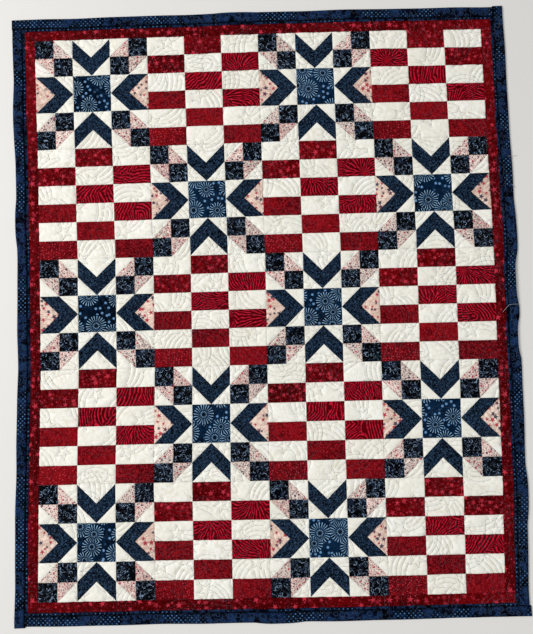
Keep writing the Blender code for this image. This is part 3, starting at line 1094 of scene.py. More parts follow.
@dataclass
class PatchworkPanel:
    """One panel of the quilt: its upper face, walls and underside, with a cloth on each patch."""

    panel: Panel
    surface: QuiltSurface
    materials: dict[Fabric, bpy.types.Material]
    crack: float = 0.0001
    tuck_under: float = 0.0009
    # How far apart on its cloth two patches may be cut, in metres
    cut_apart: float = 2.0
    # Height that fills a wall's band in the bake layout, in metres
    tallest: float = 0.007

    def cloth_at(self, x: Array, y: Array) -> tuple[Array, Array]:
        """Cloth numbers and patch numbers at plan points of the panel.

        Args:
            x: plan positions across.
            y: plan positions along.

        Returns:
            The cloth's number and the patch's number at each point.
        """
        panel = self.panel
        patchwork = self.surface.patchwork
        if panel.kind is PanelKind.STAR_BLOCK:
            return patchwork.star_patches(*self.surface.units(panel, x, y))
        if panel.kind is PanelKind.STRIPE_BLOCK:
            return patchwork.stripe_patches(*self.surface.units(panel, x, y), panel.column, panel.row)
        red = panel.kind is PanelKind.RED_BORDER
        cloth = Fabric.BORDER_RED if red else Fabric.BORDER_NAVY
        return np.full(np.shape(x), cloth.number), np.zeros(np.shape(x))

    def patch_middle(self, x: Array, y: Array) -> tuple[Array, Array]:
        """Middle of the bar that plan points lie in, or of the whole panel.

        Args:
            x: plan positions across.
            y: plan positions along.

        Returns:
            Plan position of the middle, across and along.
        """
        panel = self.panel
        middle_x = np.full(np.shape(x), (panel.left + panel.right) / 2)
        middle_y = np.full(np.shape(y), (panel.lower + panel.upper) / 2)
        if panel.kind is PanelKind.STRIPE_BLOCK:
            across, down = self.surface.units(panel, x, y)
            middle_x = panel.left + (2 * np.floor(across / 2) + 1) * self.surface.plan.unit_across
            middle_y = panel.upper - (np.floor(down) + 0.5) * self.surface.plan.unit_along
        return middle_x, middle_y

    def print_uv(self, x: Array, y: Array, inside_x: Array, inside_y: Array) -> Array:
        """Place of the printed cloth at face corners, in metres.

        Each patch is cut from another place of its cloth: the plan position from the patch's middle
        is turned and shifted by steady random amounts. The border strips are cut along the print.

        Args:
            x: plan positions of the corners.
            y: plan positions of the corners.
            inside_x: a point inside each corner's own patch.
            inside_y: a point inside each corner's own patch.

        Returns:
            An array of pairs.
        """
        panel = self.panel
        _, patch = self.cloth_at(inside_x, inside_y)
        middle_x, middle_y = self.patch_middle(inside_x, inside_y)
        block = 10 * panel.row + panel.column + 50 * list(PanelKind).index(panel.kind)
        turn = TURN * hashed(patch, block, 3.0)
        if panel.side is not None:
            turn = np.full(np.shape(x), TURN / 4 if panel.level else 0.0)
        shift_x, shift_y = (self.cut_apart * (hashed(patch, block, salt) - 0.5) for salt in (4.0, 5.0))
        across = x - middle_x
        along = y - middle_y
        u = across * np.cos(turn) - along * np.sin(turn) + shift_x
        v = across * np.sin(turn) + along * np.cos(turn) + shift_y
        return np.stack([u, v], axis=-1)

    def stations(self, values: Array) -> Array:
        """Turn a grid so that its first index runs the long way and its second one to the right."""
        return values.T[:, ::-1] if self.panel.level else values

    def parts(self) -> MeshParts:
        """Work out the closed mesh.

        The upper face has two triangles a cell, whose shared side runs the way of the block's seams.
        Each long side has a wall of quads, each end one flat face, and the underside is a ladder of
        quads between the lower edges of the two long walls.

        Returns:
            The mesh's parts, with print and bake positions at each face corner.
        """
        panel, surface = self.panel, self.surface
        left, right, low, high = surface.span(panel)
        plan_x, plan_y = np.meshgrid(surface.x_lines[left:right + 1], surface.y_lines[low:high + 1])
        part = (slice(low, high + 1), slice(left, right + 1))
        plan_x, plan_y, z = (self.stations(v) for v in (plan_x, plan_y, surface.height[part]))
        # Strength of the painted seam shade at each grid point
        seam = surface.seam_shade_nearness(panel, plan_x, plan_y)
        half_crack = self.crack / 2
        true_x = np.clip(plan_x, panel.left + half_crack, panel.right - half_crack)
        true_y = np.clip(plan_y, panel.lower + half_crack, panel.upper - half_crack)
        count, width = plan_x.shape
        world_x, world_y, lift = surface.cloth.place(true_x, true_y)
        top = np.stack([world_x, world_y, z + lift], axis=-1).reshape(-1, 3)

        rail_x, rail_y = true_x[:, [0, -1]].copy(), true_y[:, [0, -1]].copy()
        if panel.kind is PanelKind.BINDING:
            outer_rail = 0 if panel.side in (Side.LEFT, Side.TOP) else 1
            inwards = self.tuck_under * (1 if panel.side in (Side.LEFT, Side.BOTTOM) else -1)
            rail = rail_x if panel.side.upright else rail_y
            rail[:, outer_rail] += inwards
        low_x, low_y, low_lift = surface.cloth.place(rail_x, rail_y)
        bottom = np.stack([low_x, low_y, low_lift], axis=-1).reshape(-1, 3)

        k, i = (v.ravel() for v in np.meshgrid(np.arange(count - 1), np.arange(width - 1), indexing="ij"))
        a = k * width + i
        b, c, d = a + 1, a + width + 1, a + width
        block = panel.side is None
        rising = (i < width // 2) == (k < count // 2) if block else np.full(a.shape, True)
        first = np.where(rising[:, None], np.stack([a, b, c], 1), np.stack([a, b, d], 1))
        second = np.where(rising[:, None], np.stack([a, c, d], 1), np.stack([b, c, d], 1))
        triangles = np.stack([first, second], axis=1).reshape(-1, 3)

        base = count * width
        station = np.arange(count - 1)
        low_left, low_right = base + 2 * station, base + 2 * station + 1
        top_left, top_right = station * width, station * width + width - 1
        walls = np.concatenate([
            np.stack([low_left + 2, low_left, top_left, top_left + width], 1),
            np.stack([low_right, low_right + 2, top_right + width, top_right], 1),
            np.stack([low_left, low_left + 2, low_right + 2, low_right], 1),
        ])
        last = base + 2 * (count - 1)
        start_face = np.concatenate([[base, base + 1], np.arange(width - 1, -1, -1)])
        end_face = np.concatenate([[last + 1, last], (count - 1) * width + np.arange(width)])

        flat_x = np.concatenate([plan_x.ravel(), rail_x.ravel()])
        flat_y = np.concatenate([plan_y.ravel(), rail_y.ravel()])
        points = np.concatenate([top, bottom])
        corners = np.concatenate([triangles.ravel(), walls.ravel(), start_face, end_face])
        face_sizes = np.concatenate([
            np.full(len(triangles), 3), np.full(len(walls), 4), [len(start_face), len(end_face)]
        ])
        face_of_corner = np.repeat(np.arange(len(face_sizes)), face_sizes)
        inside_x = np.bincount(face_of_corner, flat_x[corners]) / face_sizes
        inside_y = np.bincount(face_of_corner, flat_y[corners]) / face_sizes
        nudge = MILLIMETRE / 4
        inside_x = np.clip(inside_x, panel.left + nudge, panel.right - nudge)
        inside_y = np.clip(inside_y, panel.lower + nudge, panel.upper - nudge)
        cloths, _ = self.cloth_at(inside_x, inside_y)
        underside = slice(len(triangles) + 2 * (count - 1), len(triangles) + 3 * (count - 1))
        if panel.kind is not PanelKind.BINDING:
            cloths[underside] = Fabric.BACKING.number
        print_uv = self.print_uv(
            flat_x[corners], flat_y[corners], inside_x[face_of_corner], inside_y[face_of_corner]
        )
        bake_uv = self.bake_uv(
            flat_x, flat_y, points[:, 2], corners, face_of_corner, len(triangles), count
        )
        seam_shade_values = np.concatenate([seam.ravel(), np.zeros(2 * count)])
        return MeshParts(points, corners, face_sizes, cloths, print_uv, bake_uv, seam_shade_values)

    def bake_uv(
        self, x: Array, y: Array, z: Array, corners: Array, face: Array, triangles: int, count: int
    ) -> Array:
        """Spread the faces over the unit square without overlap.

        A strip's length is cut into rows that lie one above another. The upper face fills the top
        nine tenths of the square. Walls, ends and underside share narrow bands below it.

        Args:
            x: plan position of each point.
            y: plan position of each point.
            z: height of each point.
            corners: point number of each face corner.
            face: face number of each face corner.
            triangles: number of faces of the upper face.
            count: number of stations along the panel.

        Returns:
            An array of pairs.
        """
        panel = self.panel
        wide, long = panel.right - panel.left, panel.upper - panel.lower
        across, along = (x - panel.left) / wide, (y - panel.lower) / long
        if panel.level:
            across, along = 1 - along, across
            wide, long = long, wide
        rows = max(1, round(math.sqrt(long / wide)))
        corner_along, corner_across = along[corners], across[corners]
        face_along = np.bincount(face, corner_along) / np.bincount(face)
        row = np.clip(np.floor(face_along * rows), 0, rows - 1)[face]
        # Each row, or the one face, keeps a narrow margin all round
        stretch = 0.96 if rows > 1 else 0.99
        u = 0.5 + stretch * (corner_along * rows - row - 0.5)
        v = 0.10 + 0.90 * (row + 0.5 + stretch * (corner_across - 0.5)) / rows
        flat_part = np.clip(z[corners] / self.tallest, 0.0, 1.0)
        # Bands of the two walls, the underside and the two ends: faces, foot, height, run, rise
        bands = (
            (count - 1, 0.003, 0.012, corner_along, flat_part),
            (count - 1, 0.018, 0.012, corner_along, flat_part),
            (count - 1, 0.033, 0.020, corner_along, corner_across),
            (1, 0.058, 0.012, corner_across, flat_part),
            (1, 0.073, 0.012, corner_across, flat_part),
        )
        first = triangles
        for faces, foot, high, run, rise in bands:
            chosen = (face >= first) & (face < first + faces)
            u = np.where(chosen, 0.005 + 0.99 * run, u)
            v = np.where(chosen, foot + high * rise, v)
            first += faces
        return np.stack([u, v], axis=-1)

    def build(self) -> None:
        """Make the panel's object, let it ride on the quilt and stand for its CAD node."""
        parts = self.parts()
        used = np.unique(parts.cloths)
        materials = [self.materials[list(Fabric)[number]] for number in used]
        parts = replace(parts, cloths=np.searchsorted(used, parts.cloths))
        item = parts.build("quilted_" + self.panel.node, materials)
        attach(item, "root")
        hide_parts(self.panel.node)
        log.info("%s: %d faces", item.name, len(parts.face_sizes))


def math_call(operation: str) -> Callable[..., "Value"]:
    """Make a method that adds one Math node, fed with the value itself and then the arguments."""
    return lambda value, *others: value.nodes.math(operation, value, *others)


@dataclass(frozen=True, eq=False)
class Value:
    """One output of a cloth's shader nodes, with short calls for what is worked out from it.

    The sign | stands for the greater of two numbers.
    """

    nodes: "ClothNodes"
    socket: Socket

    __add__ = math_call("ADD")
    __sub__ = math_call("SUBTRACT")
    __mul__ = math_call("MULTIPLY")
    __truediv__ = math_call("DIVIDE")
    __or__ = math_call("MAXIMUM")
    __abs__ = math_call("ABSOLUTE")
    times_plus = math_call("MULTIPLY_ADD")
    zigzag = math_call("PINGPONG")
    sine = math_call("SINE")
    cosine = math_call("COSINE")
    rounded = math_call("ROUND")

    def __rsub__(self, other: float) -> "Value":
        """Take the value from a plain number."""
        return self.nodes.math("SUBTRACT", other, self)

    def step(self, low: float, high: float, first: float = 0.0, last: float = 1.0) -> "Value":
        """Soft step from the first number, below low, to the last one, above high."""
        inputs = {"Value": self, "From Min": low, "From Max": high, "To Min": first, "To Max": last}
        return self.nodes.output("ShaderNodeMapRange", inputs, interpolation_type="SMOOTHSTEP")

    def fall(self, low: float, high: float, first: float = 1.0) -> "Value":
        """Soft step down to 0."""
        return self.step(low, high, first, 0.0)

    def part(self, number: int) -> "Value":
        """One of the three parts of a colour."""
        return self.nodes.output("ShaderNodeSeparateColor", {0: self}, number)

    def beside(self, name: int | str) -> "Value":
        """Another output of the same node."""
        return Value(self.nodes, self.socket.node.outputs[name])


class ClothNodes:
    """Short calls that add and join the shader nodes of one cloth."""

    def __init__(self, name: str) -> None:
        """Start a material with its shader.

        Args:
            name: the material's name.
        """
        self.material = bpy.data.materials.new(name)
        self.material.use_nodes = True
        self.tree = self.material.node_tree
        self.place = self.output("ShaderNodeUVMap", {}, uv_map="print")

    def feed(self, sockets: bpy.types.NodeInputs, values: dict) -> None:
        """Link an output to each named input, or set the input's own value.

        Args:
            sockets: the inputs of a node.
            values: values or outputs by input name or number.
        """
        for name, value in values.items():
            if isinstance(value, Value):
                self.tree.links.new(value.socket, sockets[name])
            else:
                sockets[name].default_value = value

    def output(self, kind: str, inputs: dict, number: int | str = 0, **settings: object) -> Value:
        """Add a node, set it up, and set or link its inputs.

        Args:
            kind: Blender's name of the node type.
            inputs: values or outputs by input name or number.
            number: name or number of the output that is wanted.
            **settings: the node's own settings.

        Returns:
            The output.
        """
        made = self.tree.nodes.new(kind)
        for name, value in settings.items():
            setattr(made, name, value)
        self.feed(made.inputs, inputs)
        return Value(self, made.outputs[number])

    def shade(self, **values: object) -> bpy.types.Material:
        """Set or link the shader's inputs, named with _ for a space, and give the material.

        Args:
            **values: values or outputs by input name.

        Returns:
            The material.
        """
        named = {name.replace("_", " "): value for name, value in values.items()}
        self.feed(self.tree.nodes["Principled BSDF"].inputs, named)
        return self.material

    def math(self, operation: str, *values: object) -> Value:
        """Add a Math node."""
        return self.output("ShaderNodeMath", dict(enumerate(values)), operation=operation)

    def vector(self, operation: str, *values: object, number: int = 0) -> Value:
        """Add a Vector Math node."""
        return self.output("ShaderNodeVectorMath", dict(enumerate(values)), number, operation=operation)

    def sized(self, local: Value, factor: object) -> Value:
        """Stretch a local position by a factor that may differ from cell to cell."""
        return self.output("ShaderNodeVectorMath", {0: local, "Scale": factor}, operation="SCALE")

    def scaled(self, across: float, along: float, place: Value | None = None) -> Value:
        """Multiply a place by one scale across and one along."""
        return self.vector("MULTIPLY", place or self.place, (across, along, 1.0))

    def noise(
        self, scale: float, detail: float = 2.0, distortion: float = 0.0, place: Value | None = None
    ) -> Value:
        """Soft noise between 0 and 1 at a scale given per metre."""
        inputs = {"Vector": place or self.place, "Scale": scale, "Detail": detail, "Distortion": distortion}
        return self.output("ShaderNodeTexNoise", inputs, noise_dimensions="2D")

    def mix(self, share: object, first: object, second: object, blend: str = "MIX") -> Value:
        """Mix two colours.

        Args:
            share: how much of the second colour there is, 0 to 1.
            first: first colour.
            second: second colour.
            blend: Blender's name of the way of mixing.

        Returns:
            The mixed colour.
        """
        first, second = ((*c, 1.0) if isinstance(c, tuple) else c for c in (first, second))
        inputs = {0: share, 6: first, 7: second}
        return self.output("ShaderNodeMix", inputs, 2, data_type="RGBA", blend_type=blend)

    def blend(self, share: object, first: object, second: object) -> Value:
        """Mix two numbers."""
        return self.output("ShaderNodeMix", {0: share, 2: first, 3: second}, data_type="FLOAT")

    def cells(
        self, pitch: float, randomness: float = 1.0, place: Value | None = None
    ) -> tuple[Value, Value, Value]:
        """Scatter one point in each cell of a lattice.

        Args:
            pitch: size of a cell in metres.
            randomness: 0 for an even lattice, 1 for a loose scatter.
            place: position in metres, or None for the print's own.

        Returns:
            Position from the nearest point in metres, distance from it in metres, and its own
            random colour.
        """
        scaled = self.scaled(1 / pitch, 1 / pitch, place)
        inputs = {"Vector": scaled, "Scale": 1.0, "Randomness": randomness}
        near = self.output(
            "ShaderNodeTexVoronoi", inputs, "Distance", voronoi_dimensions="2D", feature="F1"
        )
        flat = self.vector("MULTIPLY", scaled, (1.0, 1.0, 0.0))
        away = self.vector("SUBTRACT", flat, near.beside("Position"))
        return self.sized(away, pitch), near * pitch, near.beside("Color")

    def polar(self, local: Value) -> tuple[Value, Value]:
        """Distance and angle of a local position."""
        across = self.output("ShaderNodeSeparateXYZ", {0: local})
        return self.vector("LENGTH", local, number=1), self.math("ARCTAN2", across.beside(1), across)

    def star(self, local: Value, turn: Value, outer: float, inner: float, blur: float) -> Value:
        """Mask of a five-point star.

        The angle is folded into a tenth of a turn, and the distance to the one straight side there
        is turned into a soft edge.

        Args:
            local: position from the star's middle.
            turn: the star's turn, 0 to 1.
            outer: radius of the tips.
            inner: radius of the inner corners.
            blur: width of the soft edge.

        Returns:
            1 inside the star and 0 outside.
        """
        radius, angle = self.polar(local)
        tenth = TURN / 10
        folded = (angle + turn * TURN).zigzag(tenth)
        run_x, run_y = inner * math.cos(tenth) - outer, inner * math.sin(tenth)
        size = math.hypot(run_x, run_y)
        first = (radius * folded.cosine() - outer) * (run_y / size)
        return (radius * folded.sine()).times_plus(-run_x / size, first).fall(-blur, blur)

    def finish(
        self, colour: Value, roughness: float, weave: float, seam_shade: float
    ) -> bpy.types.Material:
        """Paint shade along the seams, add the weave with its painted shade, and join everything to the
        shader.

        The weave is two long-drawn noises at right angles, for the warp and the weft.

        Args:
            colour: the cloth's printed colour.
            roughness: roughness of the cloth.
            weave: height of the weave in metres.
            seam_shade: how dark the painted shade makes the cloth at a seam, from 0 to 1.

        Returns:
            The material.
        """
        close, drawn_out = 1900.0, 260.0
        warp = self.noise(1.0, 1.0, place=self.scaled(close, drawn_out))
        weft = self.noise(1.0, 1.0, place=self.scaled(drawn_out, close))
        threads = warp + weft
        # Painted shade of the weave: the colour follows the weave's height, lighter on raised threads and
        # darker between them
        weave_shaded = self.sized(colour, threads.step(0.6, 1.4, 0.93, 1.05))
        # Painted seam shade: the seam attribute multiplies the colour towards near black beside the seams
        seam = self.output("ShaderNodeAttribute", {}, "Fac", attribute_name="seam")
        dark = self.mix(seam * seam_shade, weave_shaded, (0.03, 0.03, 0.04), blend="MULTIPLY")
        bump = self.output("ShaderNodeBump", {"Height": threads, "Distance": weave, "Strength": 0.6})
        return self.shade(Base_Color=dark, Normal=bump, Roughness=roughness, Specular_IOR_Level=0.03)


@dataclass(frozen=True)
class PrintedCloth:
    """One cotton: its dye colours, roughness and weave. Each kind of it adds its print."""

    dark: Colour
    light: Colour
    roughness: float = 0.9
    weave: float = 0.00006
    mottle_scale: float = 70.0
    # Strength of the painted shade along the seams
    seam_shade: float = 0.16

    def dyed(self, nodes: ClothNodes) -> Value:
        """Unevenly dyed ground: three noises of different size blend the dark dye with the light one.

        The largest is so wide that it differs from patch to patch.

        Args:
            nodes: the cloth's nodes.

        Returns:
            The ground's colour.
        """
        large = nodes.noise(self.mottle_scale, 3.0, 0.6)
        small = nodes.noise(5.0 * self.mottle_scale) * 0.22
        total = nodes.noise(5.0, 0.0).times_plus(0.28, large.times_plus(0.50, small))
        return nodes.mix(total.step(0.36, 0.66), self.dark, self.light)

    def print_on(self, nodes: ClothNodes, ground: Value) -> Value:
        """Print nothing: a plain cloth."""
        return ground

    def material(self, name: str) -> bpy.types.Material:
        """Make the cloth's material."""
        nodes = ClothNodes(name)
        return nodes.finish(
            self.print_on(nodes, self.dyed(nodes)), self.roughness, self.weave, self.seam_shade
        )


@dataclass(frozen=True)
class CreamTonal(PrintedCloth):
    """Cream on cream: faint warm swirls on a light ground."""

    swirl: Colour = linear(222, 218, 200)

    def print_on(self, nodes: ClothNodes, ground: Value) -> Value:
        """Draw the swirls as bands of equal value in a bent noise."""
        bands = (nodes.noise(28.0, 1.0, 0.8) * 34.0).sine()
        return nodes.mix(bands.step(0.45, 0.95) * 0.55, ground, self.swirl)


@dataclass(frozen=True)
class Tide(PrintedCloth):
    """Large suns with bent rays, more of them further out, and wide rings between them."""

    ray: Colour = linear(194, 27, 52)
    disc: Colour = linear(150, 6, 24)
    disc_radius: float = 0.0065
    pitch: float = 0.135
    # Number of rays, and the radius in metres from which the next number takes over
    rings: tuple = ((16, 0.026), (32, 0.052), (64, 0.104), (128, 0.20))
    # Rings to a metre, and where their middle lies from the sun's own
    ring_rate: float = 125.0
    ring_middle: tuple[float, float, float] = (0.070, 0.045, 0.0)

    def print_on(self, nodes: ClothNodes, ground: Value) -> Value:
        """Draw each ray where a sine of the bent angle is high, then the rings and the disc.

        Args:
            nodes: the cloth's nodes.
            ground: the dyed ground.

        Returns:
            The printed colour.
        """
        local, _, chance = nodes.cells(self.pitch, 0.5)
        radius, angle = nodes.polar(local)
        bend = nodes.noise(15.0, 2.0, 0.6) * 26.0
        sweep = radius.times_plus(chance.part(1).step(0.0, 1.0, -300.0, 420.0), bend)
        rays, start = None, 0.0
        for count, reach in self.rings:
            wave = angle.times_plus(float(count), sweep).sine()
            rays = nodes.blend(radius.step(0.88 * start, 1.12 * start), rays, wave) if rays else wave
            start = reach
        ring_radius = nodes.vector("LENGTH", nodes.vector("ADD", local, self.ring_middle), number=1)
        ringed = ring_radius.times_plus(TURN * self.ring_rate, bend).sine()
        rays = nodes.blend(chance.part(2).step(0.66, 0.67), rays, ringed)
        broken = nodes.noise(120.0, 2.0, 0.4).step(0.30, 0.60, 0.30, 1.0)
        striped = nodes.mix(rays.step(0.0, 0.70) * broken, ground, self.ray)
        return nodes.mix(radius.fall(0.80 * self.disc_radius, self.disc_radius), striped, self.disc)


@dataclass(frozen=True)
class Starry(PrintedCloth):
    """Soft slender stars scattered at all angles, with small ones and specks between them."""

    star: Colour = linear(194, 52, 70)
    pitch: float = 0.0200
    size: float = 0.0092

    def print_on(self, nodes: ClothNodes, ground: Value) -> Value:
        """Scatter stars of two sizes and uneven strength, and specks.

        Args:
            nodes: the cloth's nodes.
            ground: the dyed ground.

        Returns:
            The printed colour.
        """
        share = None
        sizes = ((self.pitch, self.size, 0.88), (0.6 * self.pitch, 0.42 * self.size, 0.75))
        for pitch, size, most in sizes:
            local, _, chance = nodes.cells(pitch, 0.8)
            local = nodes.sized(local, chance.part(2).step(0.0, 1.0, 1.0, 1.5))
            shape = nodes.star(local, chance.part(0), size, 0.38 * size, 0.0006)
            shape = shape * chance.part(1).step(0.10, 0.80, 0.10, most)
            share = share | shape if share else shape
        _, speck, chance = nodes.cells(0.0060)
        specks = speck.fall(0.0005, 0.0013, 0.55) * chance.part(0).step(0.5, 0.8)
        return nodes.mix(share | specks, ground, self.star)


@dataclass(frozen=True)
class Mottled(PrintedCloth):
    """Fine streaks and flecks over an uneven dye."""

    fleck: Colour = linear(186, 44, 58)
    fleck_scale: float = 270.0
    fleck_share: float = 0.55

    def print_on(self, nodes: ClothNodes, ground: Value) -> Value:
        """Draw flecks where a fine bent noise is high."""
        flecks = nodes.noise(self.fleck_scale, 3.0, 1.2).step(0.50, 0.62)
        return nodes.mix(flecks * self.fleck_share, ground, self.fleck)


@dataclass(frozen=True)
class Dotted(PrintedCloth):
    """Dots of two sizes, scattered."""

    dot: Colour = linear(216, 62, 80)
    pitch: float = 0.0068
    radius: float = 0.0014

    def print_on(self, nodes: ClothNodes, ground: Value) -> Value:
        """Scatter the dots, some faint and some strong.

        Args:
            nodes: the cloth's nodes.
            ground: the dyed ground.

        Returns:
            The printed colour.
        """
        _, distance, chance = nodes.cells(self.pitch, 0.8)
        dots = distance.fall(0.6 * self.radius, 1.4 * self.radius)
        dots = dots * chance.part(1).step(0.2, 0.9, 0.05, 0.9)
        _, fine, _ = nodes.cells(0.0034, 0.7)
        return nodes.mix(dots | fine.fall(0.0003, 0.0010, 0.45), ground, self.dot)


@dataclass(frozen=True)
class Scroll(PrintedCloth):
    """Dark discs with broken pale rims, blue fill between some of them, and thin wandering lines."""

    line: Colour = linear(140, 164, 194)
    fill: Colour = linear(25, 38, 58)
    pitch: float = 0.0165

    def print_on(self, nodes: ClothNodes, ground: Value) -> Value:
        """Draw the fill, the rims and the lines of equal value in a bent noise.

        Args:
            nodes: the cloth's nodes.
            ground: the dyed ground.

        Returns:
            The printed colour.
        """
        _, distance, chance = nodes.cells(self.pitch, 0.9)
        beyond = distance - chance.part(0).step(0.0, 1.0, 0.0036, 0.0068)
        filled = nodes.noise(40.0, 1.0, 0.5).step(0.57, 0.64, 0.0, 0.65) * beyond.step(0.0, 0.0010)
        rims = abs(beyond).fall(0.0002, 0.0009) * nodes.noise(120.0, 1.0).step(0.48, 0.60)
        lines = (nodes.noise(48.0, 0.6, 1.3) * 5.0).zigzag(0.5).fall(0.01, 0.075)
        lines = lines * nodes.noise(75.0, 1.0).step(0.46, 0.58)
        return nodes.mix((rims | lines) * 0.9, nodes.mix(filled, ground, self.fill), self.line)


@dataclass(frozen=True)
class Burst(PrintedCloth):
    """Seed heads with pale rays round a dark core, and round dots between them."""

    ray: Colour = linear(152, 192, 224)
    dot: Colour = linear(106, 148, 192)
    middle: Colour = linear(34, 68, 104)
    core: Colour = linear(2, 8, 18)
    pitch: float = 0.054
    # Rays to a metre of a seed head's own radius, and strokes in the ring round its core
    ray_rate: float = 780.0
    strokes: int = 11

    def print_on(self, nodes: ClothNodes, ground: Value) -> Value:
        """Draw each head's middle, its tapered rays, its core with a ring of strokes, and the dots.

        Args:
            nodes: the cloth's nodes.
            ground: the dyed ground.

        Returns:
            The printed colour.
        """
        local, _, chance = nodes.cells(self.pitch, 0.7)
        radius, angle = nodes.polar(local)
        reach = chance.part(2).step(0.0, 1.0, 0.0210, 0.0290)
        share = radius / reach
        count = (reach * self.ray_rate).rounded()
        across = angle.times_plus(count / TURN, nodes.noise(80.0, 1.0) * 0.5).zigzag(0.5)
        rays = (1.0 - share).times_plus(0.12, across).fall(0.08, 0.17)
        rays = rays * share.step(0.40, 0.48) * share.fall(0.93, 1.0)
        strokes = (angle * (self.strokes / TURN)).zigzag(0.5).fall(0.14, 0.32, 0.6)
        strokes = strokes * share.step(0.18, 0.22) * share.fall(0.30, 0.34)
        _, distance, chance = nodes.cells(0.0145, 0.75)
        dots = distance.fall(0.0028, 0.0038) * share.step(1.03, 1.10)
        dots = dots * chance.part(0).step(0.25, 0.45, 0.0, 0.9)
        headed = nodes.mix(share.fall(0.30, 0.60, 0.30), ground, self.middle)
        cored = nodes.mix(share.fall(0.16, 0.36, 0.8), headed, self.core)
        return nodes.mix(dots, nodes.mix(rays | strokes, cored, self.ray), self.dot)


@dataclass(frozen=True)
class BlushPrint(PrintedCloth):
    """Dense fine specks on a blush ground, with larger dots on one cloth and slim stars on the other."""

    red: Colour = linear(172, 14, 56)
    plum: Colour = linear(84, 22, 66)
    navy: Colour = linear(30, 34, 66)
    speck: Colour = linear(84, 54, 68)
    grey: Colour = linear(206, 194, 184)
    tan: Colour = linear(182, 142, 118)
    pitch: float = 0.0104
    stars: bool = False

    def print_on(self, nodes: ClothNodes, ground: Value) -> Value:
        """Scatter fine specks and dots, or stars of many sizes.

        Args:
            nodes: the cloth's nodes.
            ground: the dyed ground.

        Returns:
            The printed colour.
        """
        local, distance, chance = nodes.cells(self.pitch, 0.9)
        if self.stars:
            grain = nodes.noise(1.0, 2.0, place=nodes.scaled(260.0, 60.0))
            printed = nodes.mix(grain.step(0.48, 0.66, 0.0, 0.5), ground, self.tan)
            sized = nodes.sized(local, chance.part(2).step(0.0, 1.0, 1.0, 1.8))
            large = nodes.star(sized, chance.part(0), 0.0088, 0.0036, 0.0005)
        else:
            _, fine, fine_chance = nodes.cells(0.0046)
            fine_dots = fine.fall(0.0008, 0.0018, 0.95) * fine_chance.part(1).step(0.10, 0.40)
            lean = nodes.noise(4.0, 0.0).step(0.44, 0.56, -0.30, 0.30)
            inked = nodes.mix((fine_chance.part(0) - lean).step(0.60, 0.66), self.speck, self.red)
            greyed = nodes.mix(lean.step(-0.10, 0.30, 0.0, 0.45), ground, self.grey)
            printed = nodes.mix(fine_dots, greyed, inked)
            radius = chance.part(2).step(0.0, 1.0, 0.0014, 0.0026)
            large = (distance - radius).fall(-0.0004, 0.0004)
        dark_ink = nodes.mix(chance.part(0).step(0.70, 0.74), self.plum, self.navy)
        ink = nodes.mix(chance.part(0).step(0.46, 0.50), self.red, dark_ink)
        return nodes.mix(large * chance.part(1).step(0.14, 0.24) * 0.92, printed, ink)


@dataclass(frozen=True)
class DottedRows(PrintedCloth):
    """Indigo with staggered rows of blue dots that give way to clouds with soft rings."""

    dot: Colour = linear(80, 128, 174)
    cloud: Colour = linear(21, 42, 78)
    ring: Colour = linear(54, 84, 124)
    pitch: float = 0.0081

    def print_on(self, nodes: ClothNodes, ground: Value) -> Value:
        """Draw a lattice of dots turned by an eighth, and clouds with rings where the dots fade.

        Args:
            nodes: the cloth's nodes.
            ground: the dyed ground.

        Returns:
            The printed colour.
        """
        where = nodes.noise(10.0).step(0.46, 0.60)
        clouds = nodes.noise(45.0, 2.0, 0.4).step(0.40, 0.64, 0.0, 0.85)
        cloudy = nodes.mix(clouds * where.step(0.0, 1.0, 1.0, 0.45), ground, self.cloud)
        _, distance, chance = nodes.cells(0.0150, 0.9)
        rim = chance.part(0).step(0.0, 1.0, 0.0030, 0.0060)
        rings = abs(distance - rim).fall(0.0004, 0.0014, 0.40) * where.fall(0.0, 0.6)
        ringed = nodes.mix(rings, cloudy, self.ring)
        slanted = nodes.output("ShaderNodeVectorRotate", {"Vector": nodes.place, "Angle": TURN / 8})
        _, distance, chance = nodes.cells(self.pitch, 0.10, slanted)
        strength = where * chance.part(0).step(0.0, 0.9, 0.20, 1.0)
        return nodes.mix(distance.fall(0.0011, 0.0023) * strength, ringed, self.dot)


@dataclass(frozen=True)
class FabricShelf:
    """Every cloth of the quilt, by its kind."""

    def cloths(self) -> dict[Fabric, PrintedCloth]:
        """List the cloths with their dyes."""
        return {
            # Cream: weaker painted shade along its seams
            Fabric.CREAM: CreamTonal(linear(235, 233, 222), linear(243, 242, 235), seam_shade=0.10),
            Fabric.TIDE: Tide(linear(62, 0, 4), linear(90, 1, 9)),
            Fabric.STARRY: Starry(linear(66, 0, 2), linear(108, 4, 9)),
            Fabric.MOTTLED: Mottled(linear(64, 0, 3), linear(122, 5, 13)),
            Fabric.DOTTED: Dotted(linear(70, 0, 2), linear(122, 5, 11)),
            Fabric.NAVY: Mottled(
                linear(0, 0, 2), linear(5, 15, 30), fleck=linear(58, 86, 118), fleck_share=0.7
            ),
            Fabric.SCROLL: Scroll(linear(0, 1, 3), linear(6, 9, 15)),
            Fabric.BURST: Burst(linear(0, 9, 24), linear(8, 36, 64)),
            Fabric.BLUSH_DOTS: BlushPrint(linear(204, 182, 173), linear(242, 226, 216), mottle_scale=110.0),
            Fabric.BLUSH_STARS: BlushPrint(
                linear(214, 186, 172), linear(242, 220, 206), mottle_scale=60.0, pitch=0.0145, stars=True
            ),
            Fabric.BORDER_RED: Starry(linear(62, 0, 1), linear(104, 3, 8), pitch=0.0250, size=0.0098),
            # Narrow navy strip: full-strength painted shadow beside the higher binding
            Fabric.BORDER_NAVY: DottedRows(
                linear(0, 2, 9), linear(7, 15, 36), mottle_scale=45.0, seam_shade=1.0
            ),
            Fabric.BACKING: PrintedCloth(linear(226, 222, 208), linear(236, 233, 221)),
        }

    def materials(self) -> dict[Fabric, bpy.types.Material]:
        """Make the material of every cloth, named after it."""
        return {fabric: cloth.material(fabric.value) for fabric, cloth in self.cloths().items()}


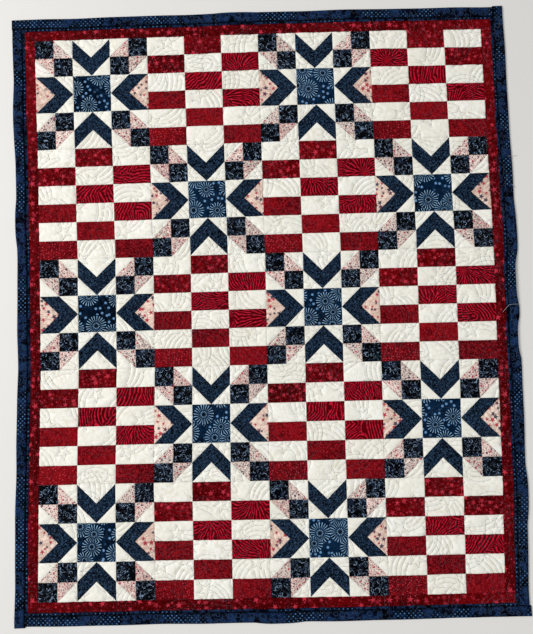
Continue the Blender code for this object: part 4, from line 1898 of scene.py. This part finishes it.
@dataclass
class QuiltingThread:
    """The stitching: thin three-sided tubes that follow the quilt's upper face, and loose ends."""

    surface: QuiltSurface
    radius: float = 0.00020
    proud: float = 0.00030
    half_stitch: float = 0.00125
    stitch_end: float = 0.0005
    loose_radius: float = 0.00045
    loose_step: float = 0.0015
    # Points in the moving average that rounds the loose ends
    smooth_width: int = 5
    # Loose ends that lie over the right edge: plan points across and along, in metres
    loose_ends: tuple = (
        ((0.6214, -0.0276), (0.6393, -0.0088), (0.6450, -0.0066), (0.6569, -0.0066), (0.6689, -0.0064)),
        ((0.6568, 0.3927), (0.6695, 0.3940), (0.6840, 0.3957)),
        ((0.6616, 0.3173), (0.6693, 0.3125), (0.6757, 0.3061)),
    )

    def on_surface(self, x: Array, y: Array) -> Array:
        """Lift plan points onto the quilt's upper face.

        Args:
            x: plan positions across.
            y: plan positions along.

        Returns:
            World points, a little proud of the face.
        """
        world_x, world_y, lift = self.surface.cloth.place(x, y)
        z = np.maximum(self.surface.height_at(x, y) + lift + self.proud, self.radius)
        return np.stack([world_x, world_y, z], axis=-1)

    def tube(self, path: Array, radius: float) -> tuple[Array, Array]:
        """Carry a small triangle along a path, and close both ends.

        The triangle stands upright and square to the path: its three corners lie at the radius,
        one above the path and two beside and below it.

        Args:
            path: points of the path.
            radius: the tube's radius.

        Returns:
            Points, and faces as corner triples that look outwards.
        """
        count = len(path)
        ahead = np.gradient(path, axis=0)
        ahead = ahead / np.linalg.norm(ahead, axis=1, keepdims=True)
        beside = np.stack([ahead[:, 1], -ahead[:, 0], np.zeros(count)], axis=1)
        beside = beside / np.maximum(np.linalg.norm(beside, axis=1, keepdims=True), 1e-9)
        above = np.cross(beside, ahead)
        angles = TURN / 4 + TURN / 3 * np.arange(3)
        sideways = np.cos(angles)[None, :, None] * beside[:, None, :]
        upwards = np.sin(angles)[None, :, None] * above[:, None, :]
        rings = path[:, None, :] + radius * (sideways + upwards)
        here = np.arange(count - 1)
        faces = []
        for corner in range(3):
            following = (corner + 1) % 3
            a, b = 3 * here + corner, 3 * here + following
            c, d = b + 3, a + 3
            faces += [np.stack([a, c, b], 1), np.stack([a, d, c], 1)]
        last = 3 * (count - 1)
        faces += [np.array([[0, 1, 2]]), np.array([[last + 2, last + 1, last]])]
        return rings.reshape(-1, 3), np.concatenate(faces)

    def sewn(self, paths: list[Array]) -> list[Array]:
        """Lift plan paths onto the quilt's upper face."""
        return [self.on_surface(path[:, 0], path[:, 1]) for path in paths]

    def loose_paths(self) -> list[Array]:
        """Lay the loose ends over the edge: on the cloth, then down onto the floor.

        Each end is a chain of plan points with its corners rounded by a moving average. A point's
        height is that of the upper face, or just above the floor beyond the quilt, smoothed alike.

        Returns:
            The paths as arrays of world points.
        """
        paths = []
        width = self.smooth_width
        for chain in self.loose_ends:
            chain = np.array(chain)
            run = run_along(chain)
            places = np.linspace(0.0, run[-1], int(run[-1] / self.loose_step) + 2)
            path = self.on_surface(*(np.interp(places, run, chain[:, axis]) for axis in range(2)))
            path[:, 2] = np.maximum(path[:, 2], 0.0) + self.loose_radius
            padded = np.pad(path, ((width // 2, width // 2), (0, 0)), mode="edge")
            smooth = np.lib.stride_tricks.sliding_window_view(padded, width, axis=0).mean(axis=-1)
            smooth[:, 2] = np.maximum(smooth[:, 2], path[:, 2])
            paths.append(smooth)
        return paths

    def build_piece(
        self, name: str, paths: list[Array], radius: float, material: bpy.types.Material
    ) -> None:
        """Make one mesh of many tubes.

        Args:
            name: the object's name.
            paths: the tubes' paths.
            radius: the tubes' radius.
            material: the thread's material.
        """
        points, faces, along, first = [], [], [], 0
        for path in paths:
            ring_points, ring_faces = self.tube(path, radius)
            points.append(ring_points)
            faces.append(ring_faces + first)
            along.append(np.repeat(run_along(path), 3))
            first += len(ring_points)
        points, faces, along = np.concatenate(points), np.concatenate(faces), np.concatenate(along)
        corners = faces.ravel()
        print_uv = np.stack([along[corners], np.zeros(len(corners))], axis=-1)
        low, high = points.min(axis=0), points.max(axis=0)
        bake_uv = ((points - low) / (high - low))[corners][:, :2]
        nothing = np.zeros(len(points))
        sizes = np.full(len(faces), 3)
        parts = MeshParts(points, corners, sizes, np.zeros(len(faces)), print_uv, bake_uv, nothing)
        item = parts.build(name, [material])
        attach(item, "root")
        log.info("%s: %d faces", item.name, len(faces))

    def material(self, name: str, dark: Colour, light: Colour) -> bpy.types.Material:
        """Make thread that is darker at each stitch end.

        Args:
            name: the material's name.
            dark: colour at a stitch end.
            light: colour along a stitch.

        Returns:
            The material.
        """
        nodes = ClothNodes(name)
        stitch = nodes.output("ShaderNodeSeparateXYZ", {0: nodes.place}).zigzag(self.half_stitch)
        # Darker colour at each stitch end
        stitch_end_dark = nodes.mix(stitch.step(0.0, self.stitch_end), dark, light)
        return nodes.shade(Base_Color=stitch_end_dark, Roughness=0.6, Specular_IOR_Level=0.3)

    def build(self) -> None:
        """Make the lines, the stars and the loose ends."""
        # The thread's grey is darkened to carry the shade along the stitch lines too: partly the thread's
        # own colour, partly painted shade
        grey = self.material("quilting_thread_and_painted_shade", linear(50, 54, 68), linear(82, 86, 100))
        pattern = self.surface.pattern
        self.build_piece("quilting_lines", self.sewn(pattern.tail_paths()), self.radius, grey)
        self.build_piece("quilting_stars", self.sewn(pattern.star_paths()), self.radius, grey)
        pale = self.material("loose_thread", linear(150, 154, 166), linear(188, 192, 204))
        self.build_piece("loose_thread_ends", self.loose_paths(), self.loose_radius, pale)


@dataclass(frozen=True)
class Studio:
    """A pale floor, one large soft light from the upper left, weak fill, and the camera."""

    camera_place: tuple[float, float, float] = (0.02549, -0.09879, 1.48894)
    camera_turn: tuple[float, float, float] = (2.9816, 0.8078, -1.4792)
    lens: float = 31.80
    sensor: float = 36.0
    floor_half: float = 12.0
    floor_drop: float = 0.0002
    floor_colour: tuple = (0.74, 0.73, 0.71, 1.0)
    floor_roughness: float = 0.7
    world_colour: tuple = (0.98, 0.99, 1.0, 1.0)
    world_light: float = 0.36
    # Name, place, side of the square in metres, watts and colour of each light
    lights: tuple = (
        ("key_light", (-5.6, 1.3, 4.0), 2.7, 483.0, (1.0, 0.985, 0.96)),
        ("fill_light", (1.8, -1.2, 2.8), 2.0, 20.0, (0.97, 0.985, 1.0)),
    )

    def floor(self) -> None:
        """Lay the floor just under the quilt."""
        half = self.floor_half
        mesh = bpy.data.meshes.new("floor")
        corners = [(-half, -half), (half, -half), (half, half), (-half, half)]
        mesh.from_pydata([(x, y, -self.floor_drop) for x, y in corners], [], [(0, 1, 2, 3)])
        item = bpy.data.objects.new("floor", mesh)
        bpy.context.scene.collection.objects.link(item)
        material = bpy.data.materials.new("pale_floor")
        material.use_nodes = True
        shader = material.node_tree.nodes["Principled BSDF"]
        shader.inputs["Base Color"].default_value = self.floor_colour
        shader.inputs["Roughness"].default_value = self.floor_roughness
        mesh.materials.append(material)

    def area_light(self, name: str, place: tuple, size: float, power: float, colour: Colour) -> None:
        """Hang one square soft light that shines at the middle of the quilt.

        Args:
            name: the light's name.
            place: where it hangs.
            size: length of its side.
            power: power in watts.
            colour: its colour.
        """
        light = bpy.data.lights.new(name, "AREA")
        light.shape = "SQUARE"
        light.size = size
        light.energy = power
        light.color = colour
        item = bpy.data.objects.new(name, light)
        item.location = place
        toward = -np.array(place)
        level = math.hypot(toward[0], toward[1])
        turn = math.atan2(toward[1], toward[0]) - TURN / 4
        item.rotation_euler = (math.atan2(level, -toward[2]), 0.0, turn)
        item.visible_camera = False
        bpy.context.scene.collection.objects.link(item)

    def camera(self) -> None:
        """Set the camera at the photograph's place, turn and lens."""
        data = bpy.data.cameras.new("camera")
        data.sensor_width = self.sensor
        data.lens = self.lens
        data.clip_start = 0.01
        item = bpy.data.objects.new("camera", data)
        item.location = self.camera_place
        item.rotation_mode = "ZYX"
        item.rotation_euler = [math.radians(angle) for angle in self.camera_turn]
        bpy.context.scene.collection.objects.link(item)
        bpy.context.scene.camera = item

    def build(self) -> None:
        """Set up floor, lights, surroundings and camera."""
        self.floor()
        for light in self.lights:
            self.area_light(*light)
        world = bpy.data.worlds.new("studio")
        world.use_nodes = True
        background = world.node_tree.nodes["Background"]
        background.inputs["Color"].default_value = self.world_colour
        background.inputs["Strength"].default_value = self.world_light
        bpy.context.scene.world = world
        bpy.context.scene.view_settings.view_transform = "Standard"
        self.camera()


def main() -> None:
    """Build the quilt's panels, its stitching and the studio."""
    logging.basicConfig(level=logging.INFO, format="%(message)s")
    plan = QuiltPlan()
    cloth = LyingCloth.on_frame(plan)
    log.info("packed model lies %.5f, %.5f from the plan", *cloth.offset)
    layout = PanelLayout(plan)
    surface = QuiltSurface(plan, cloth, QuiltingPattern(plan), Patchwork(plan), layout)
    materials = FabricShelf().materials()
    for panel in layout.all():
        PatchworkPanel(panel, surface, materials).build()
    QuiltingThread(surface).build()
    Studio().build()


if __name__ == "__main__":
    main()
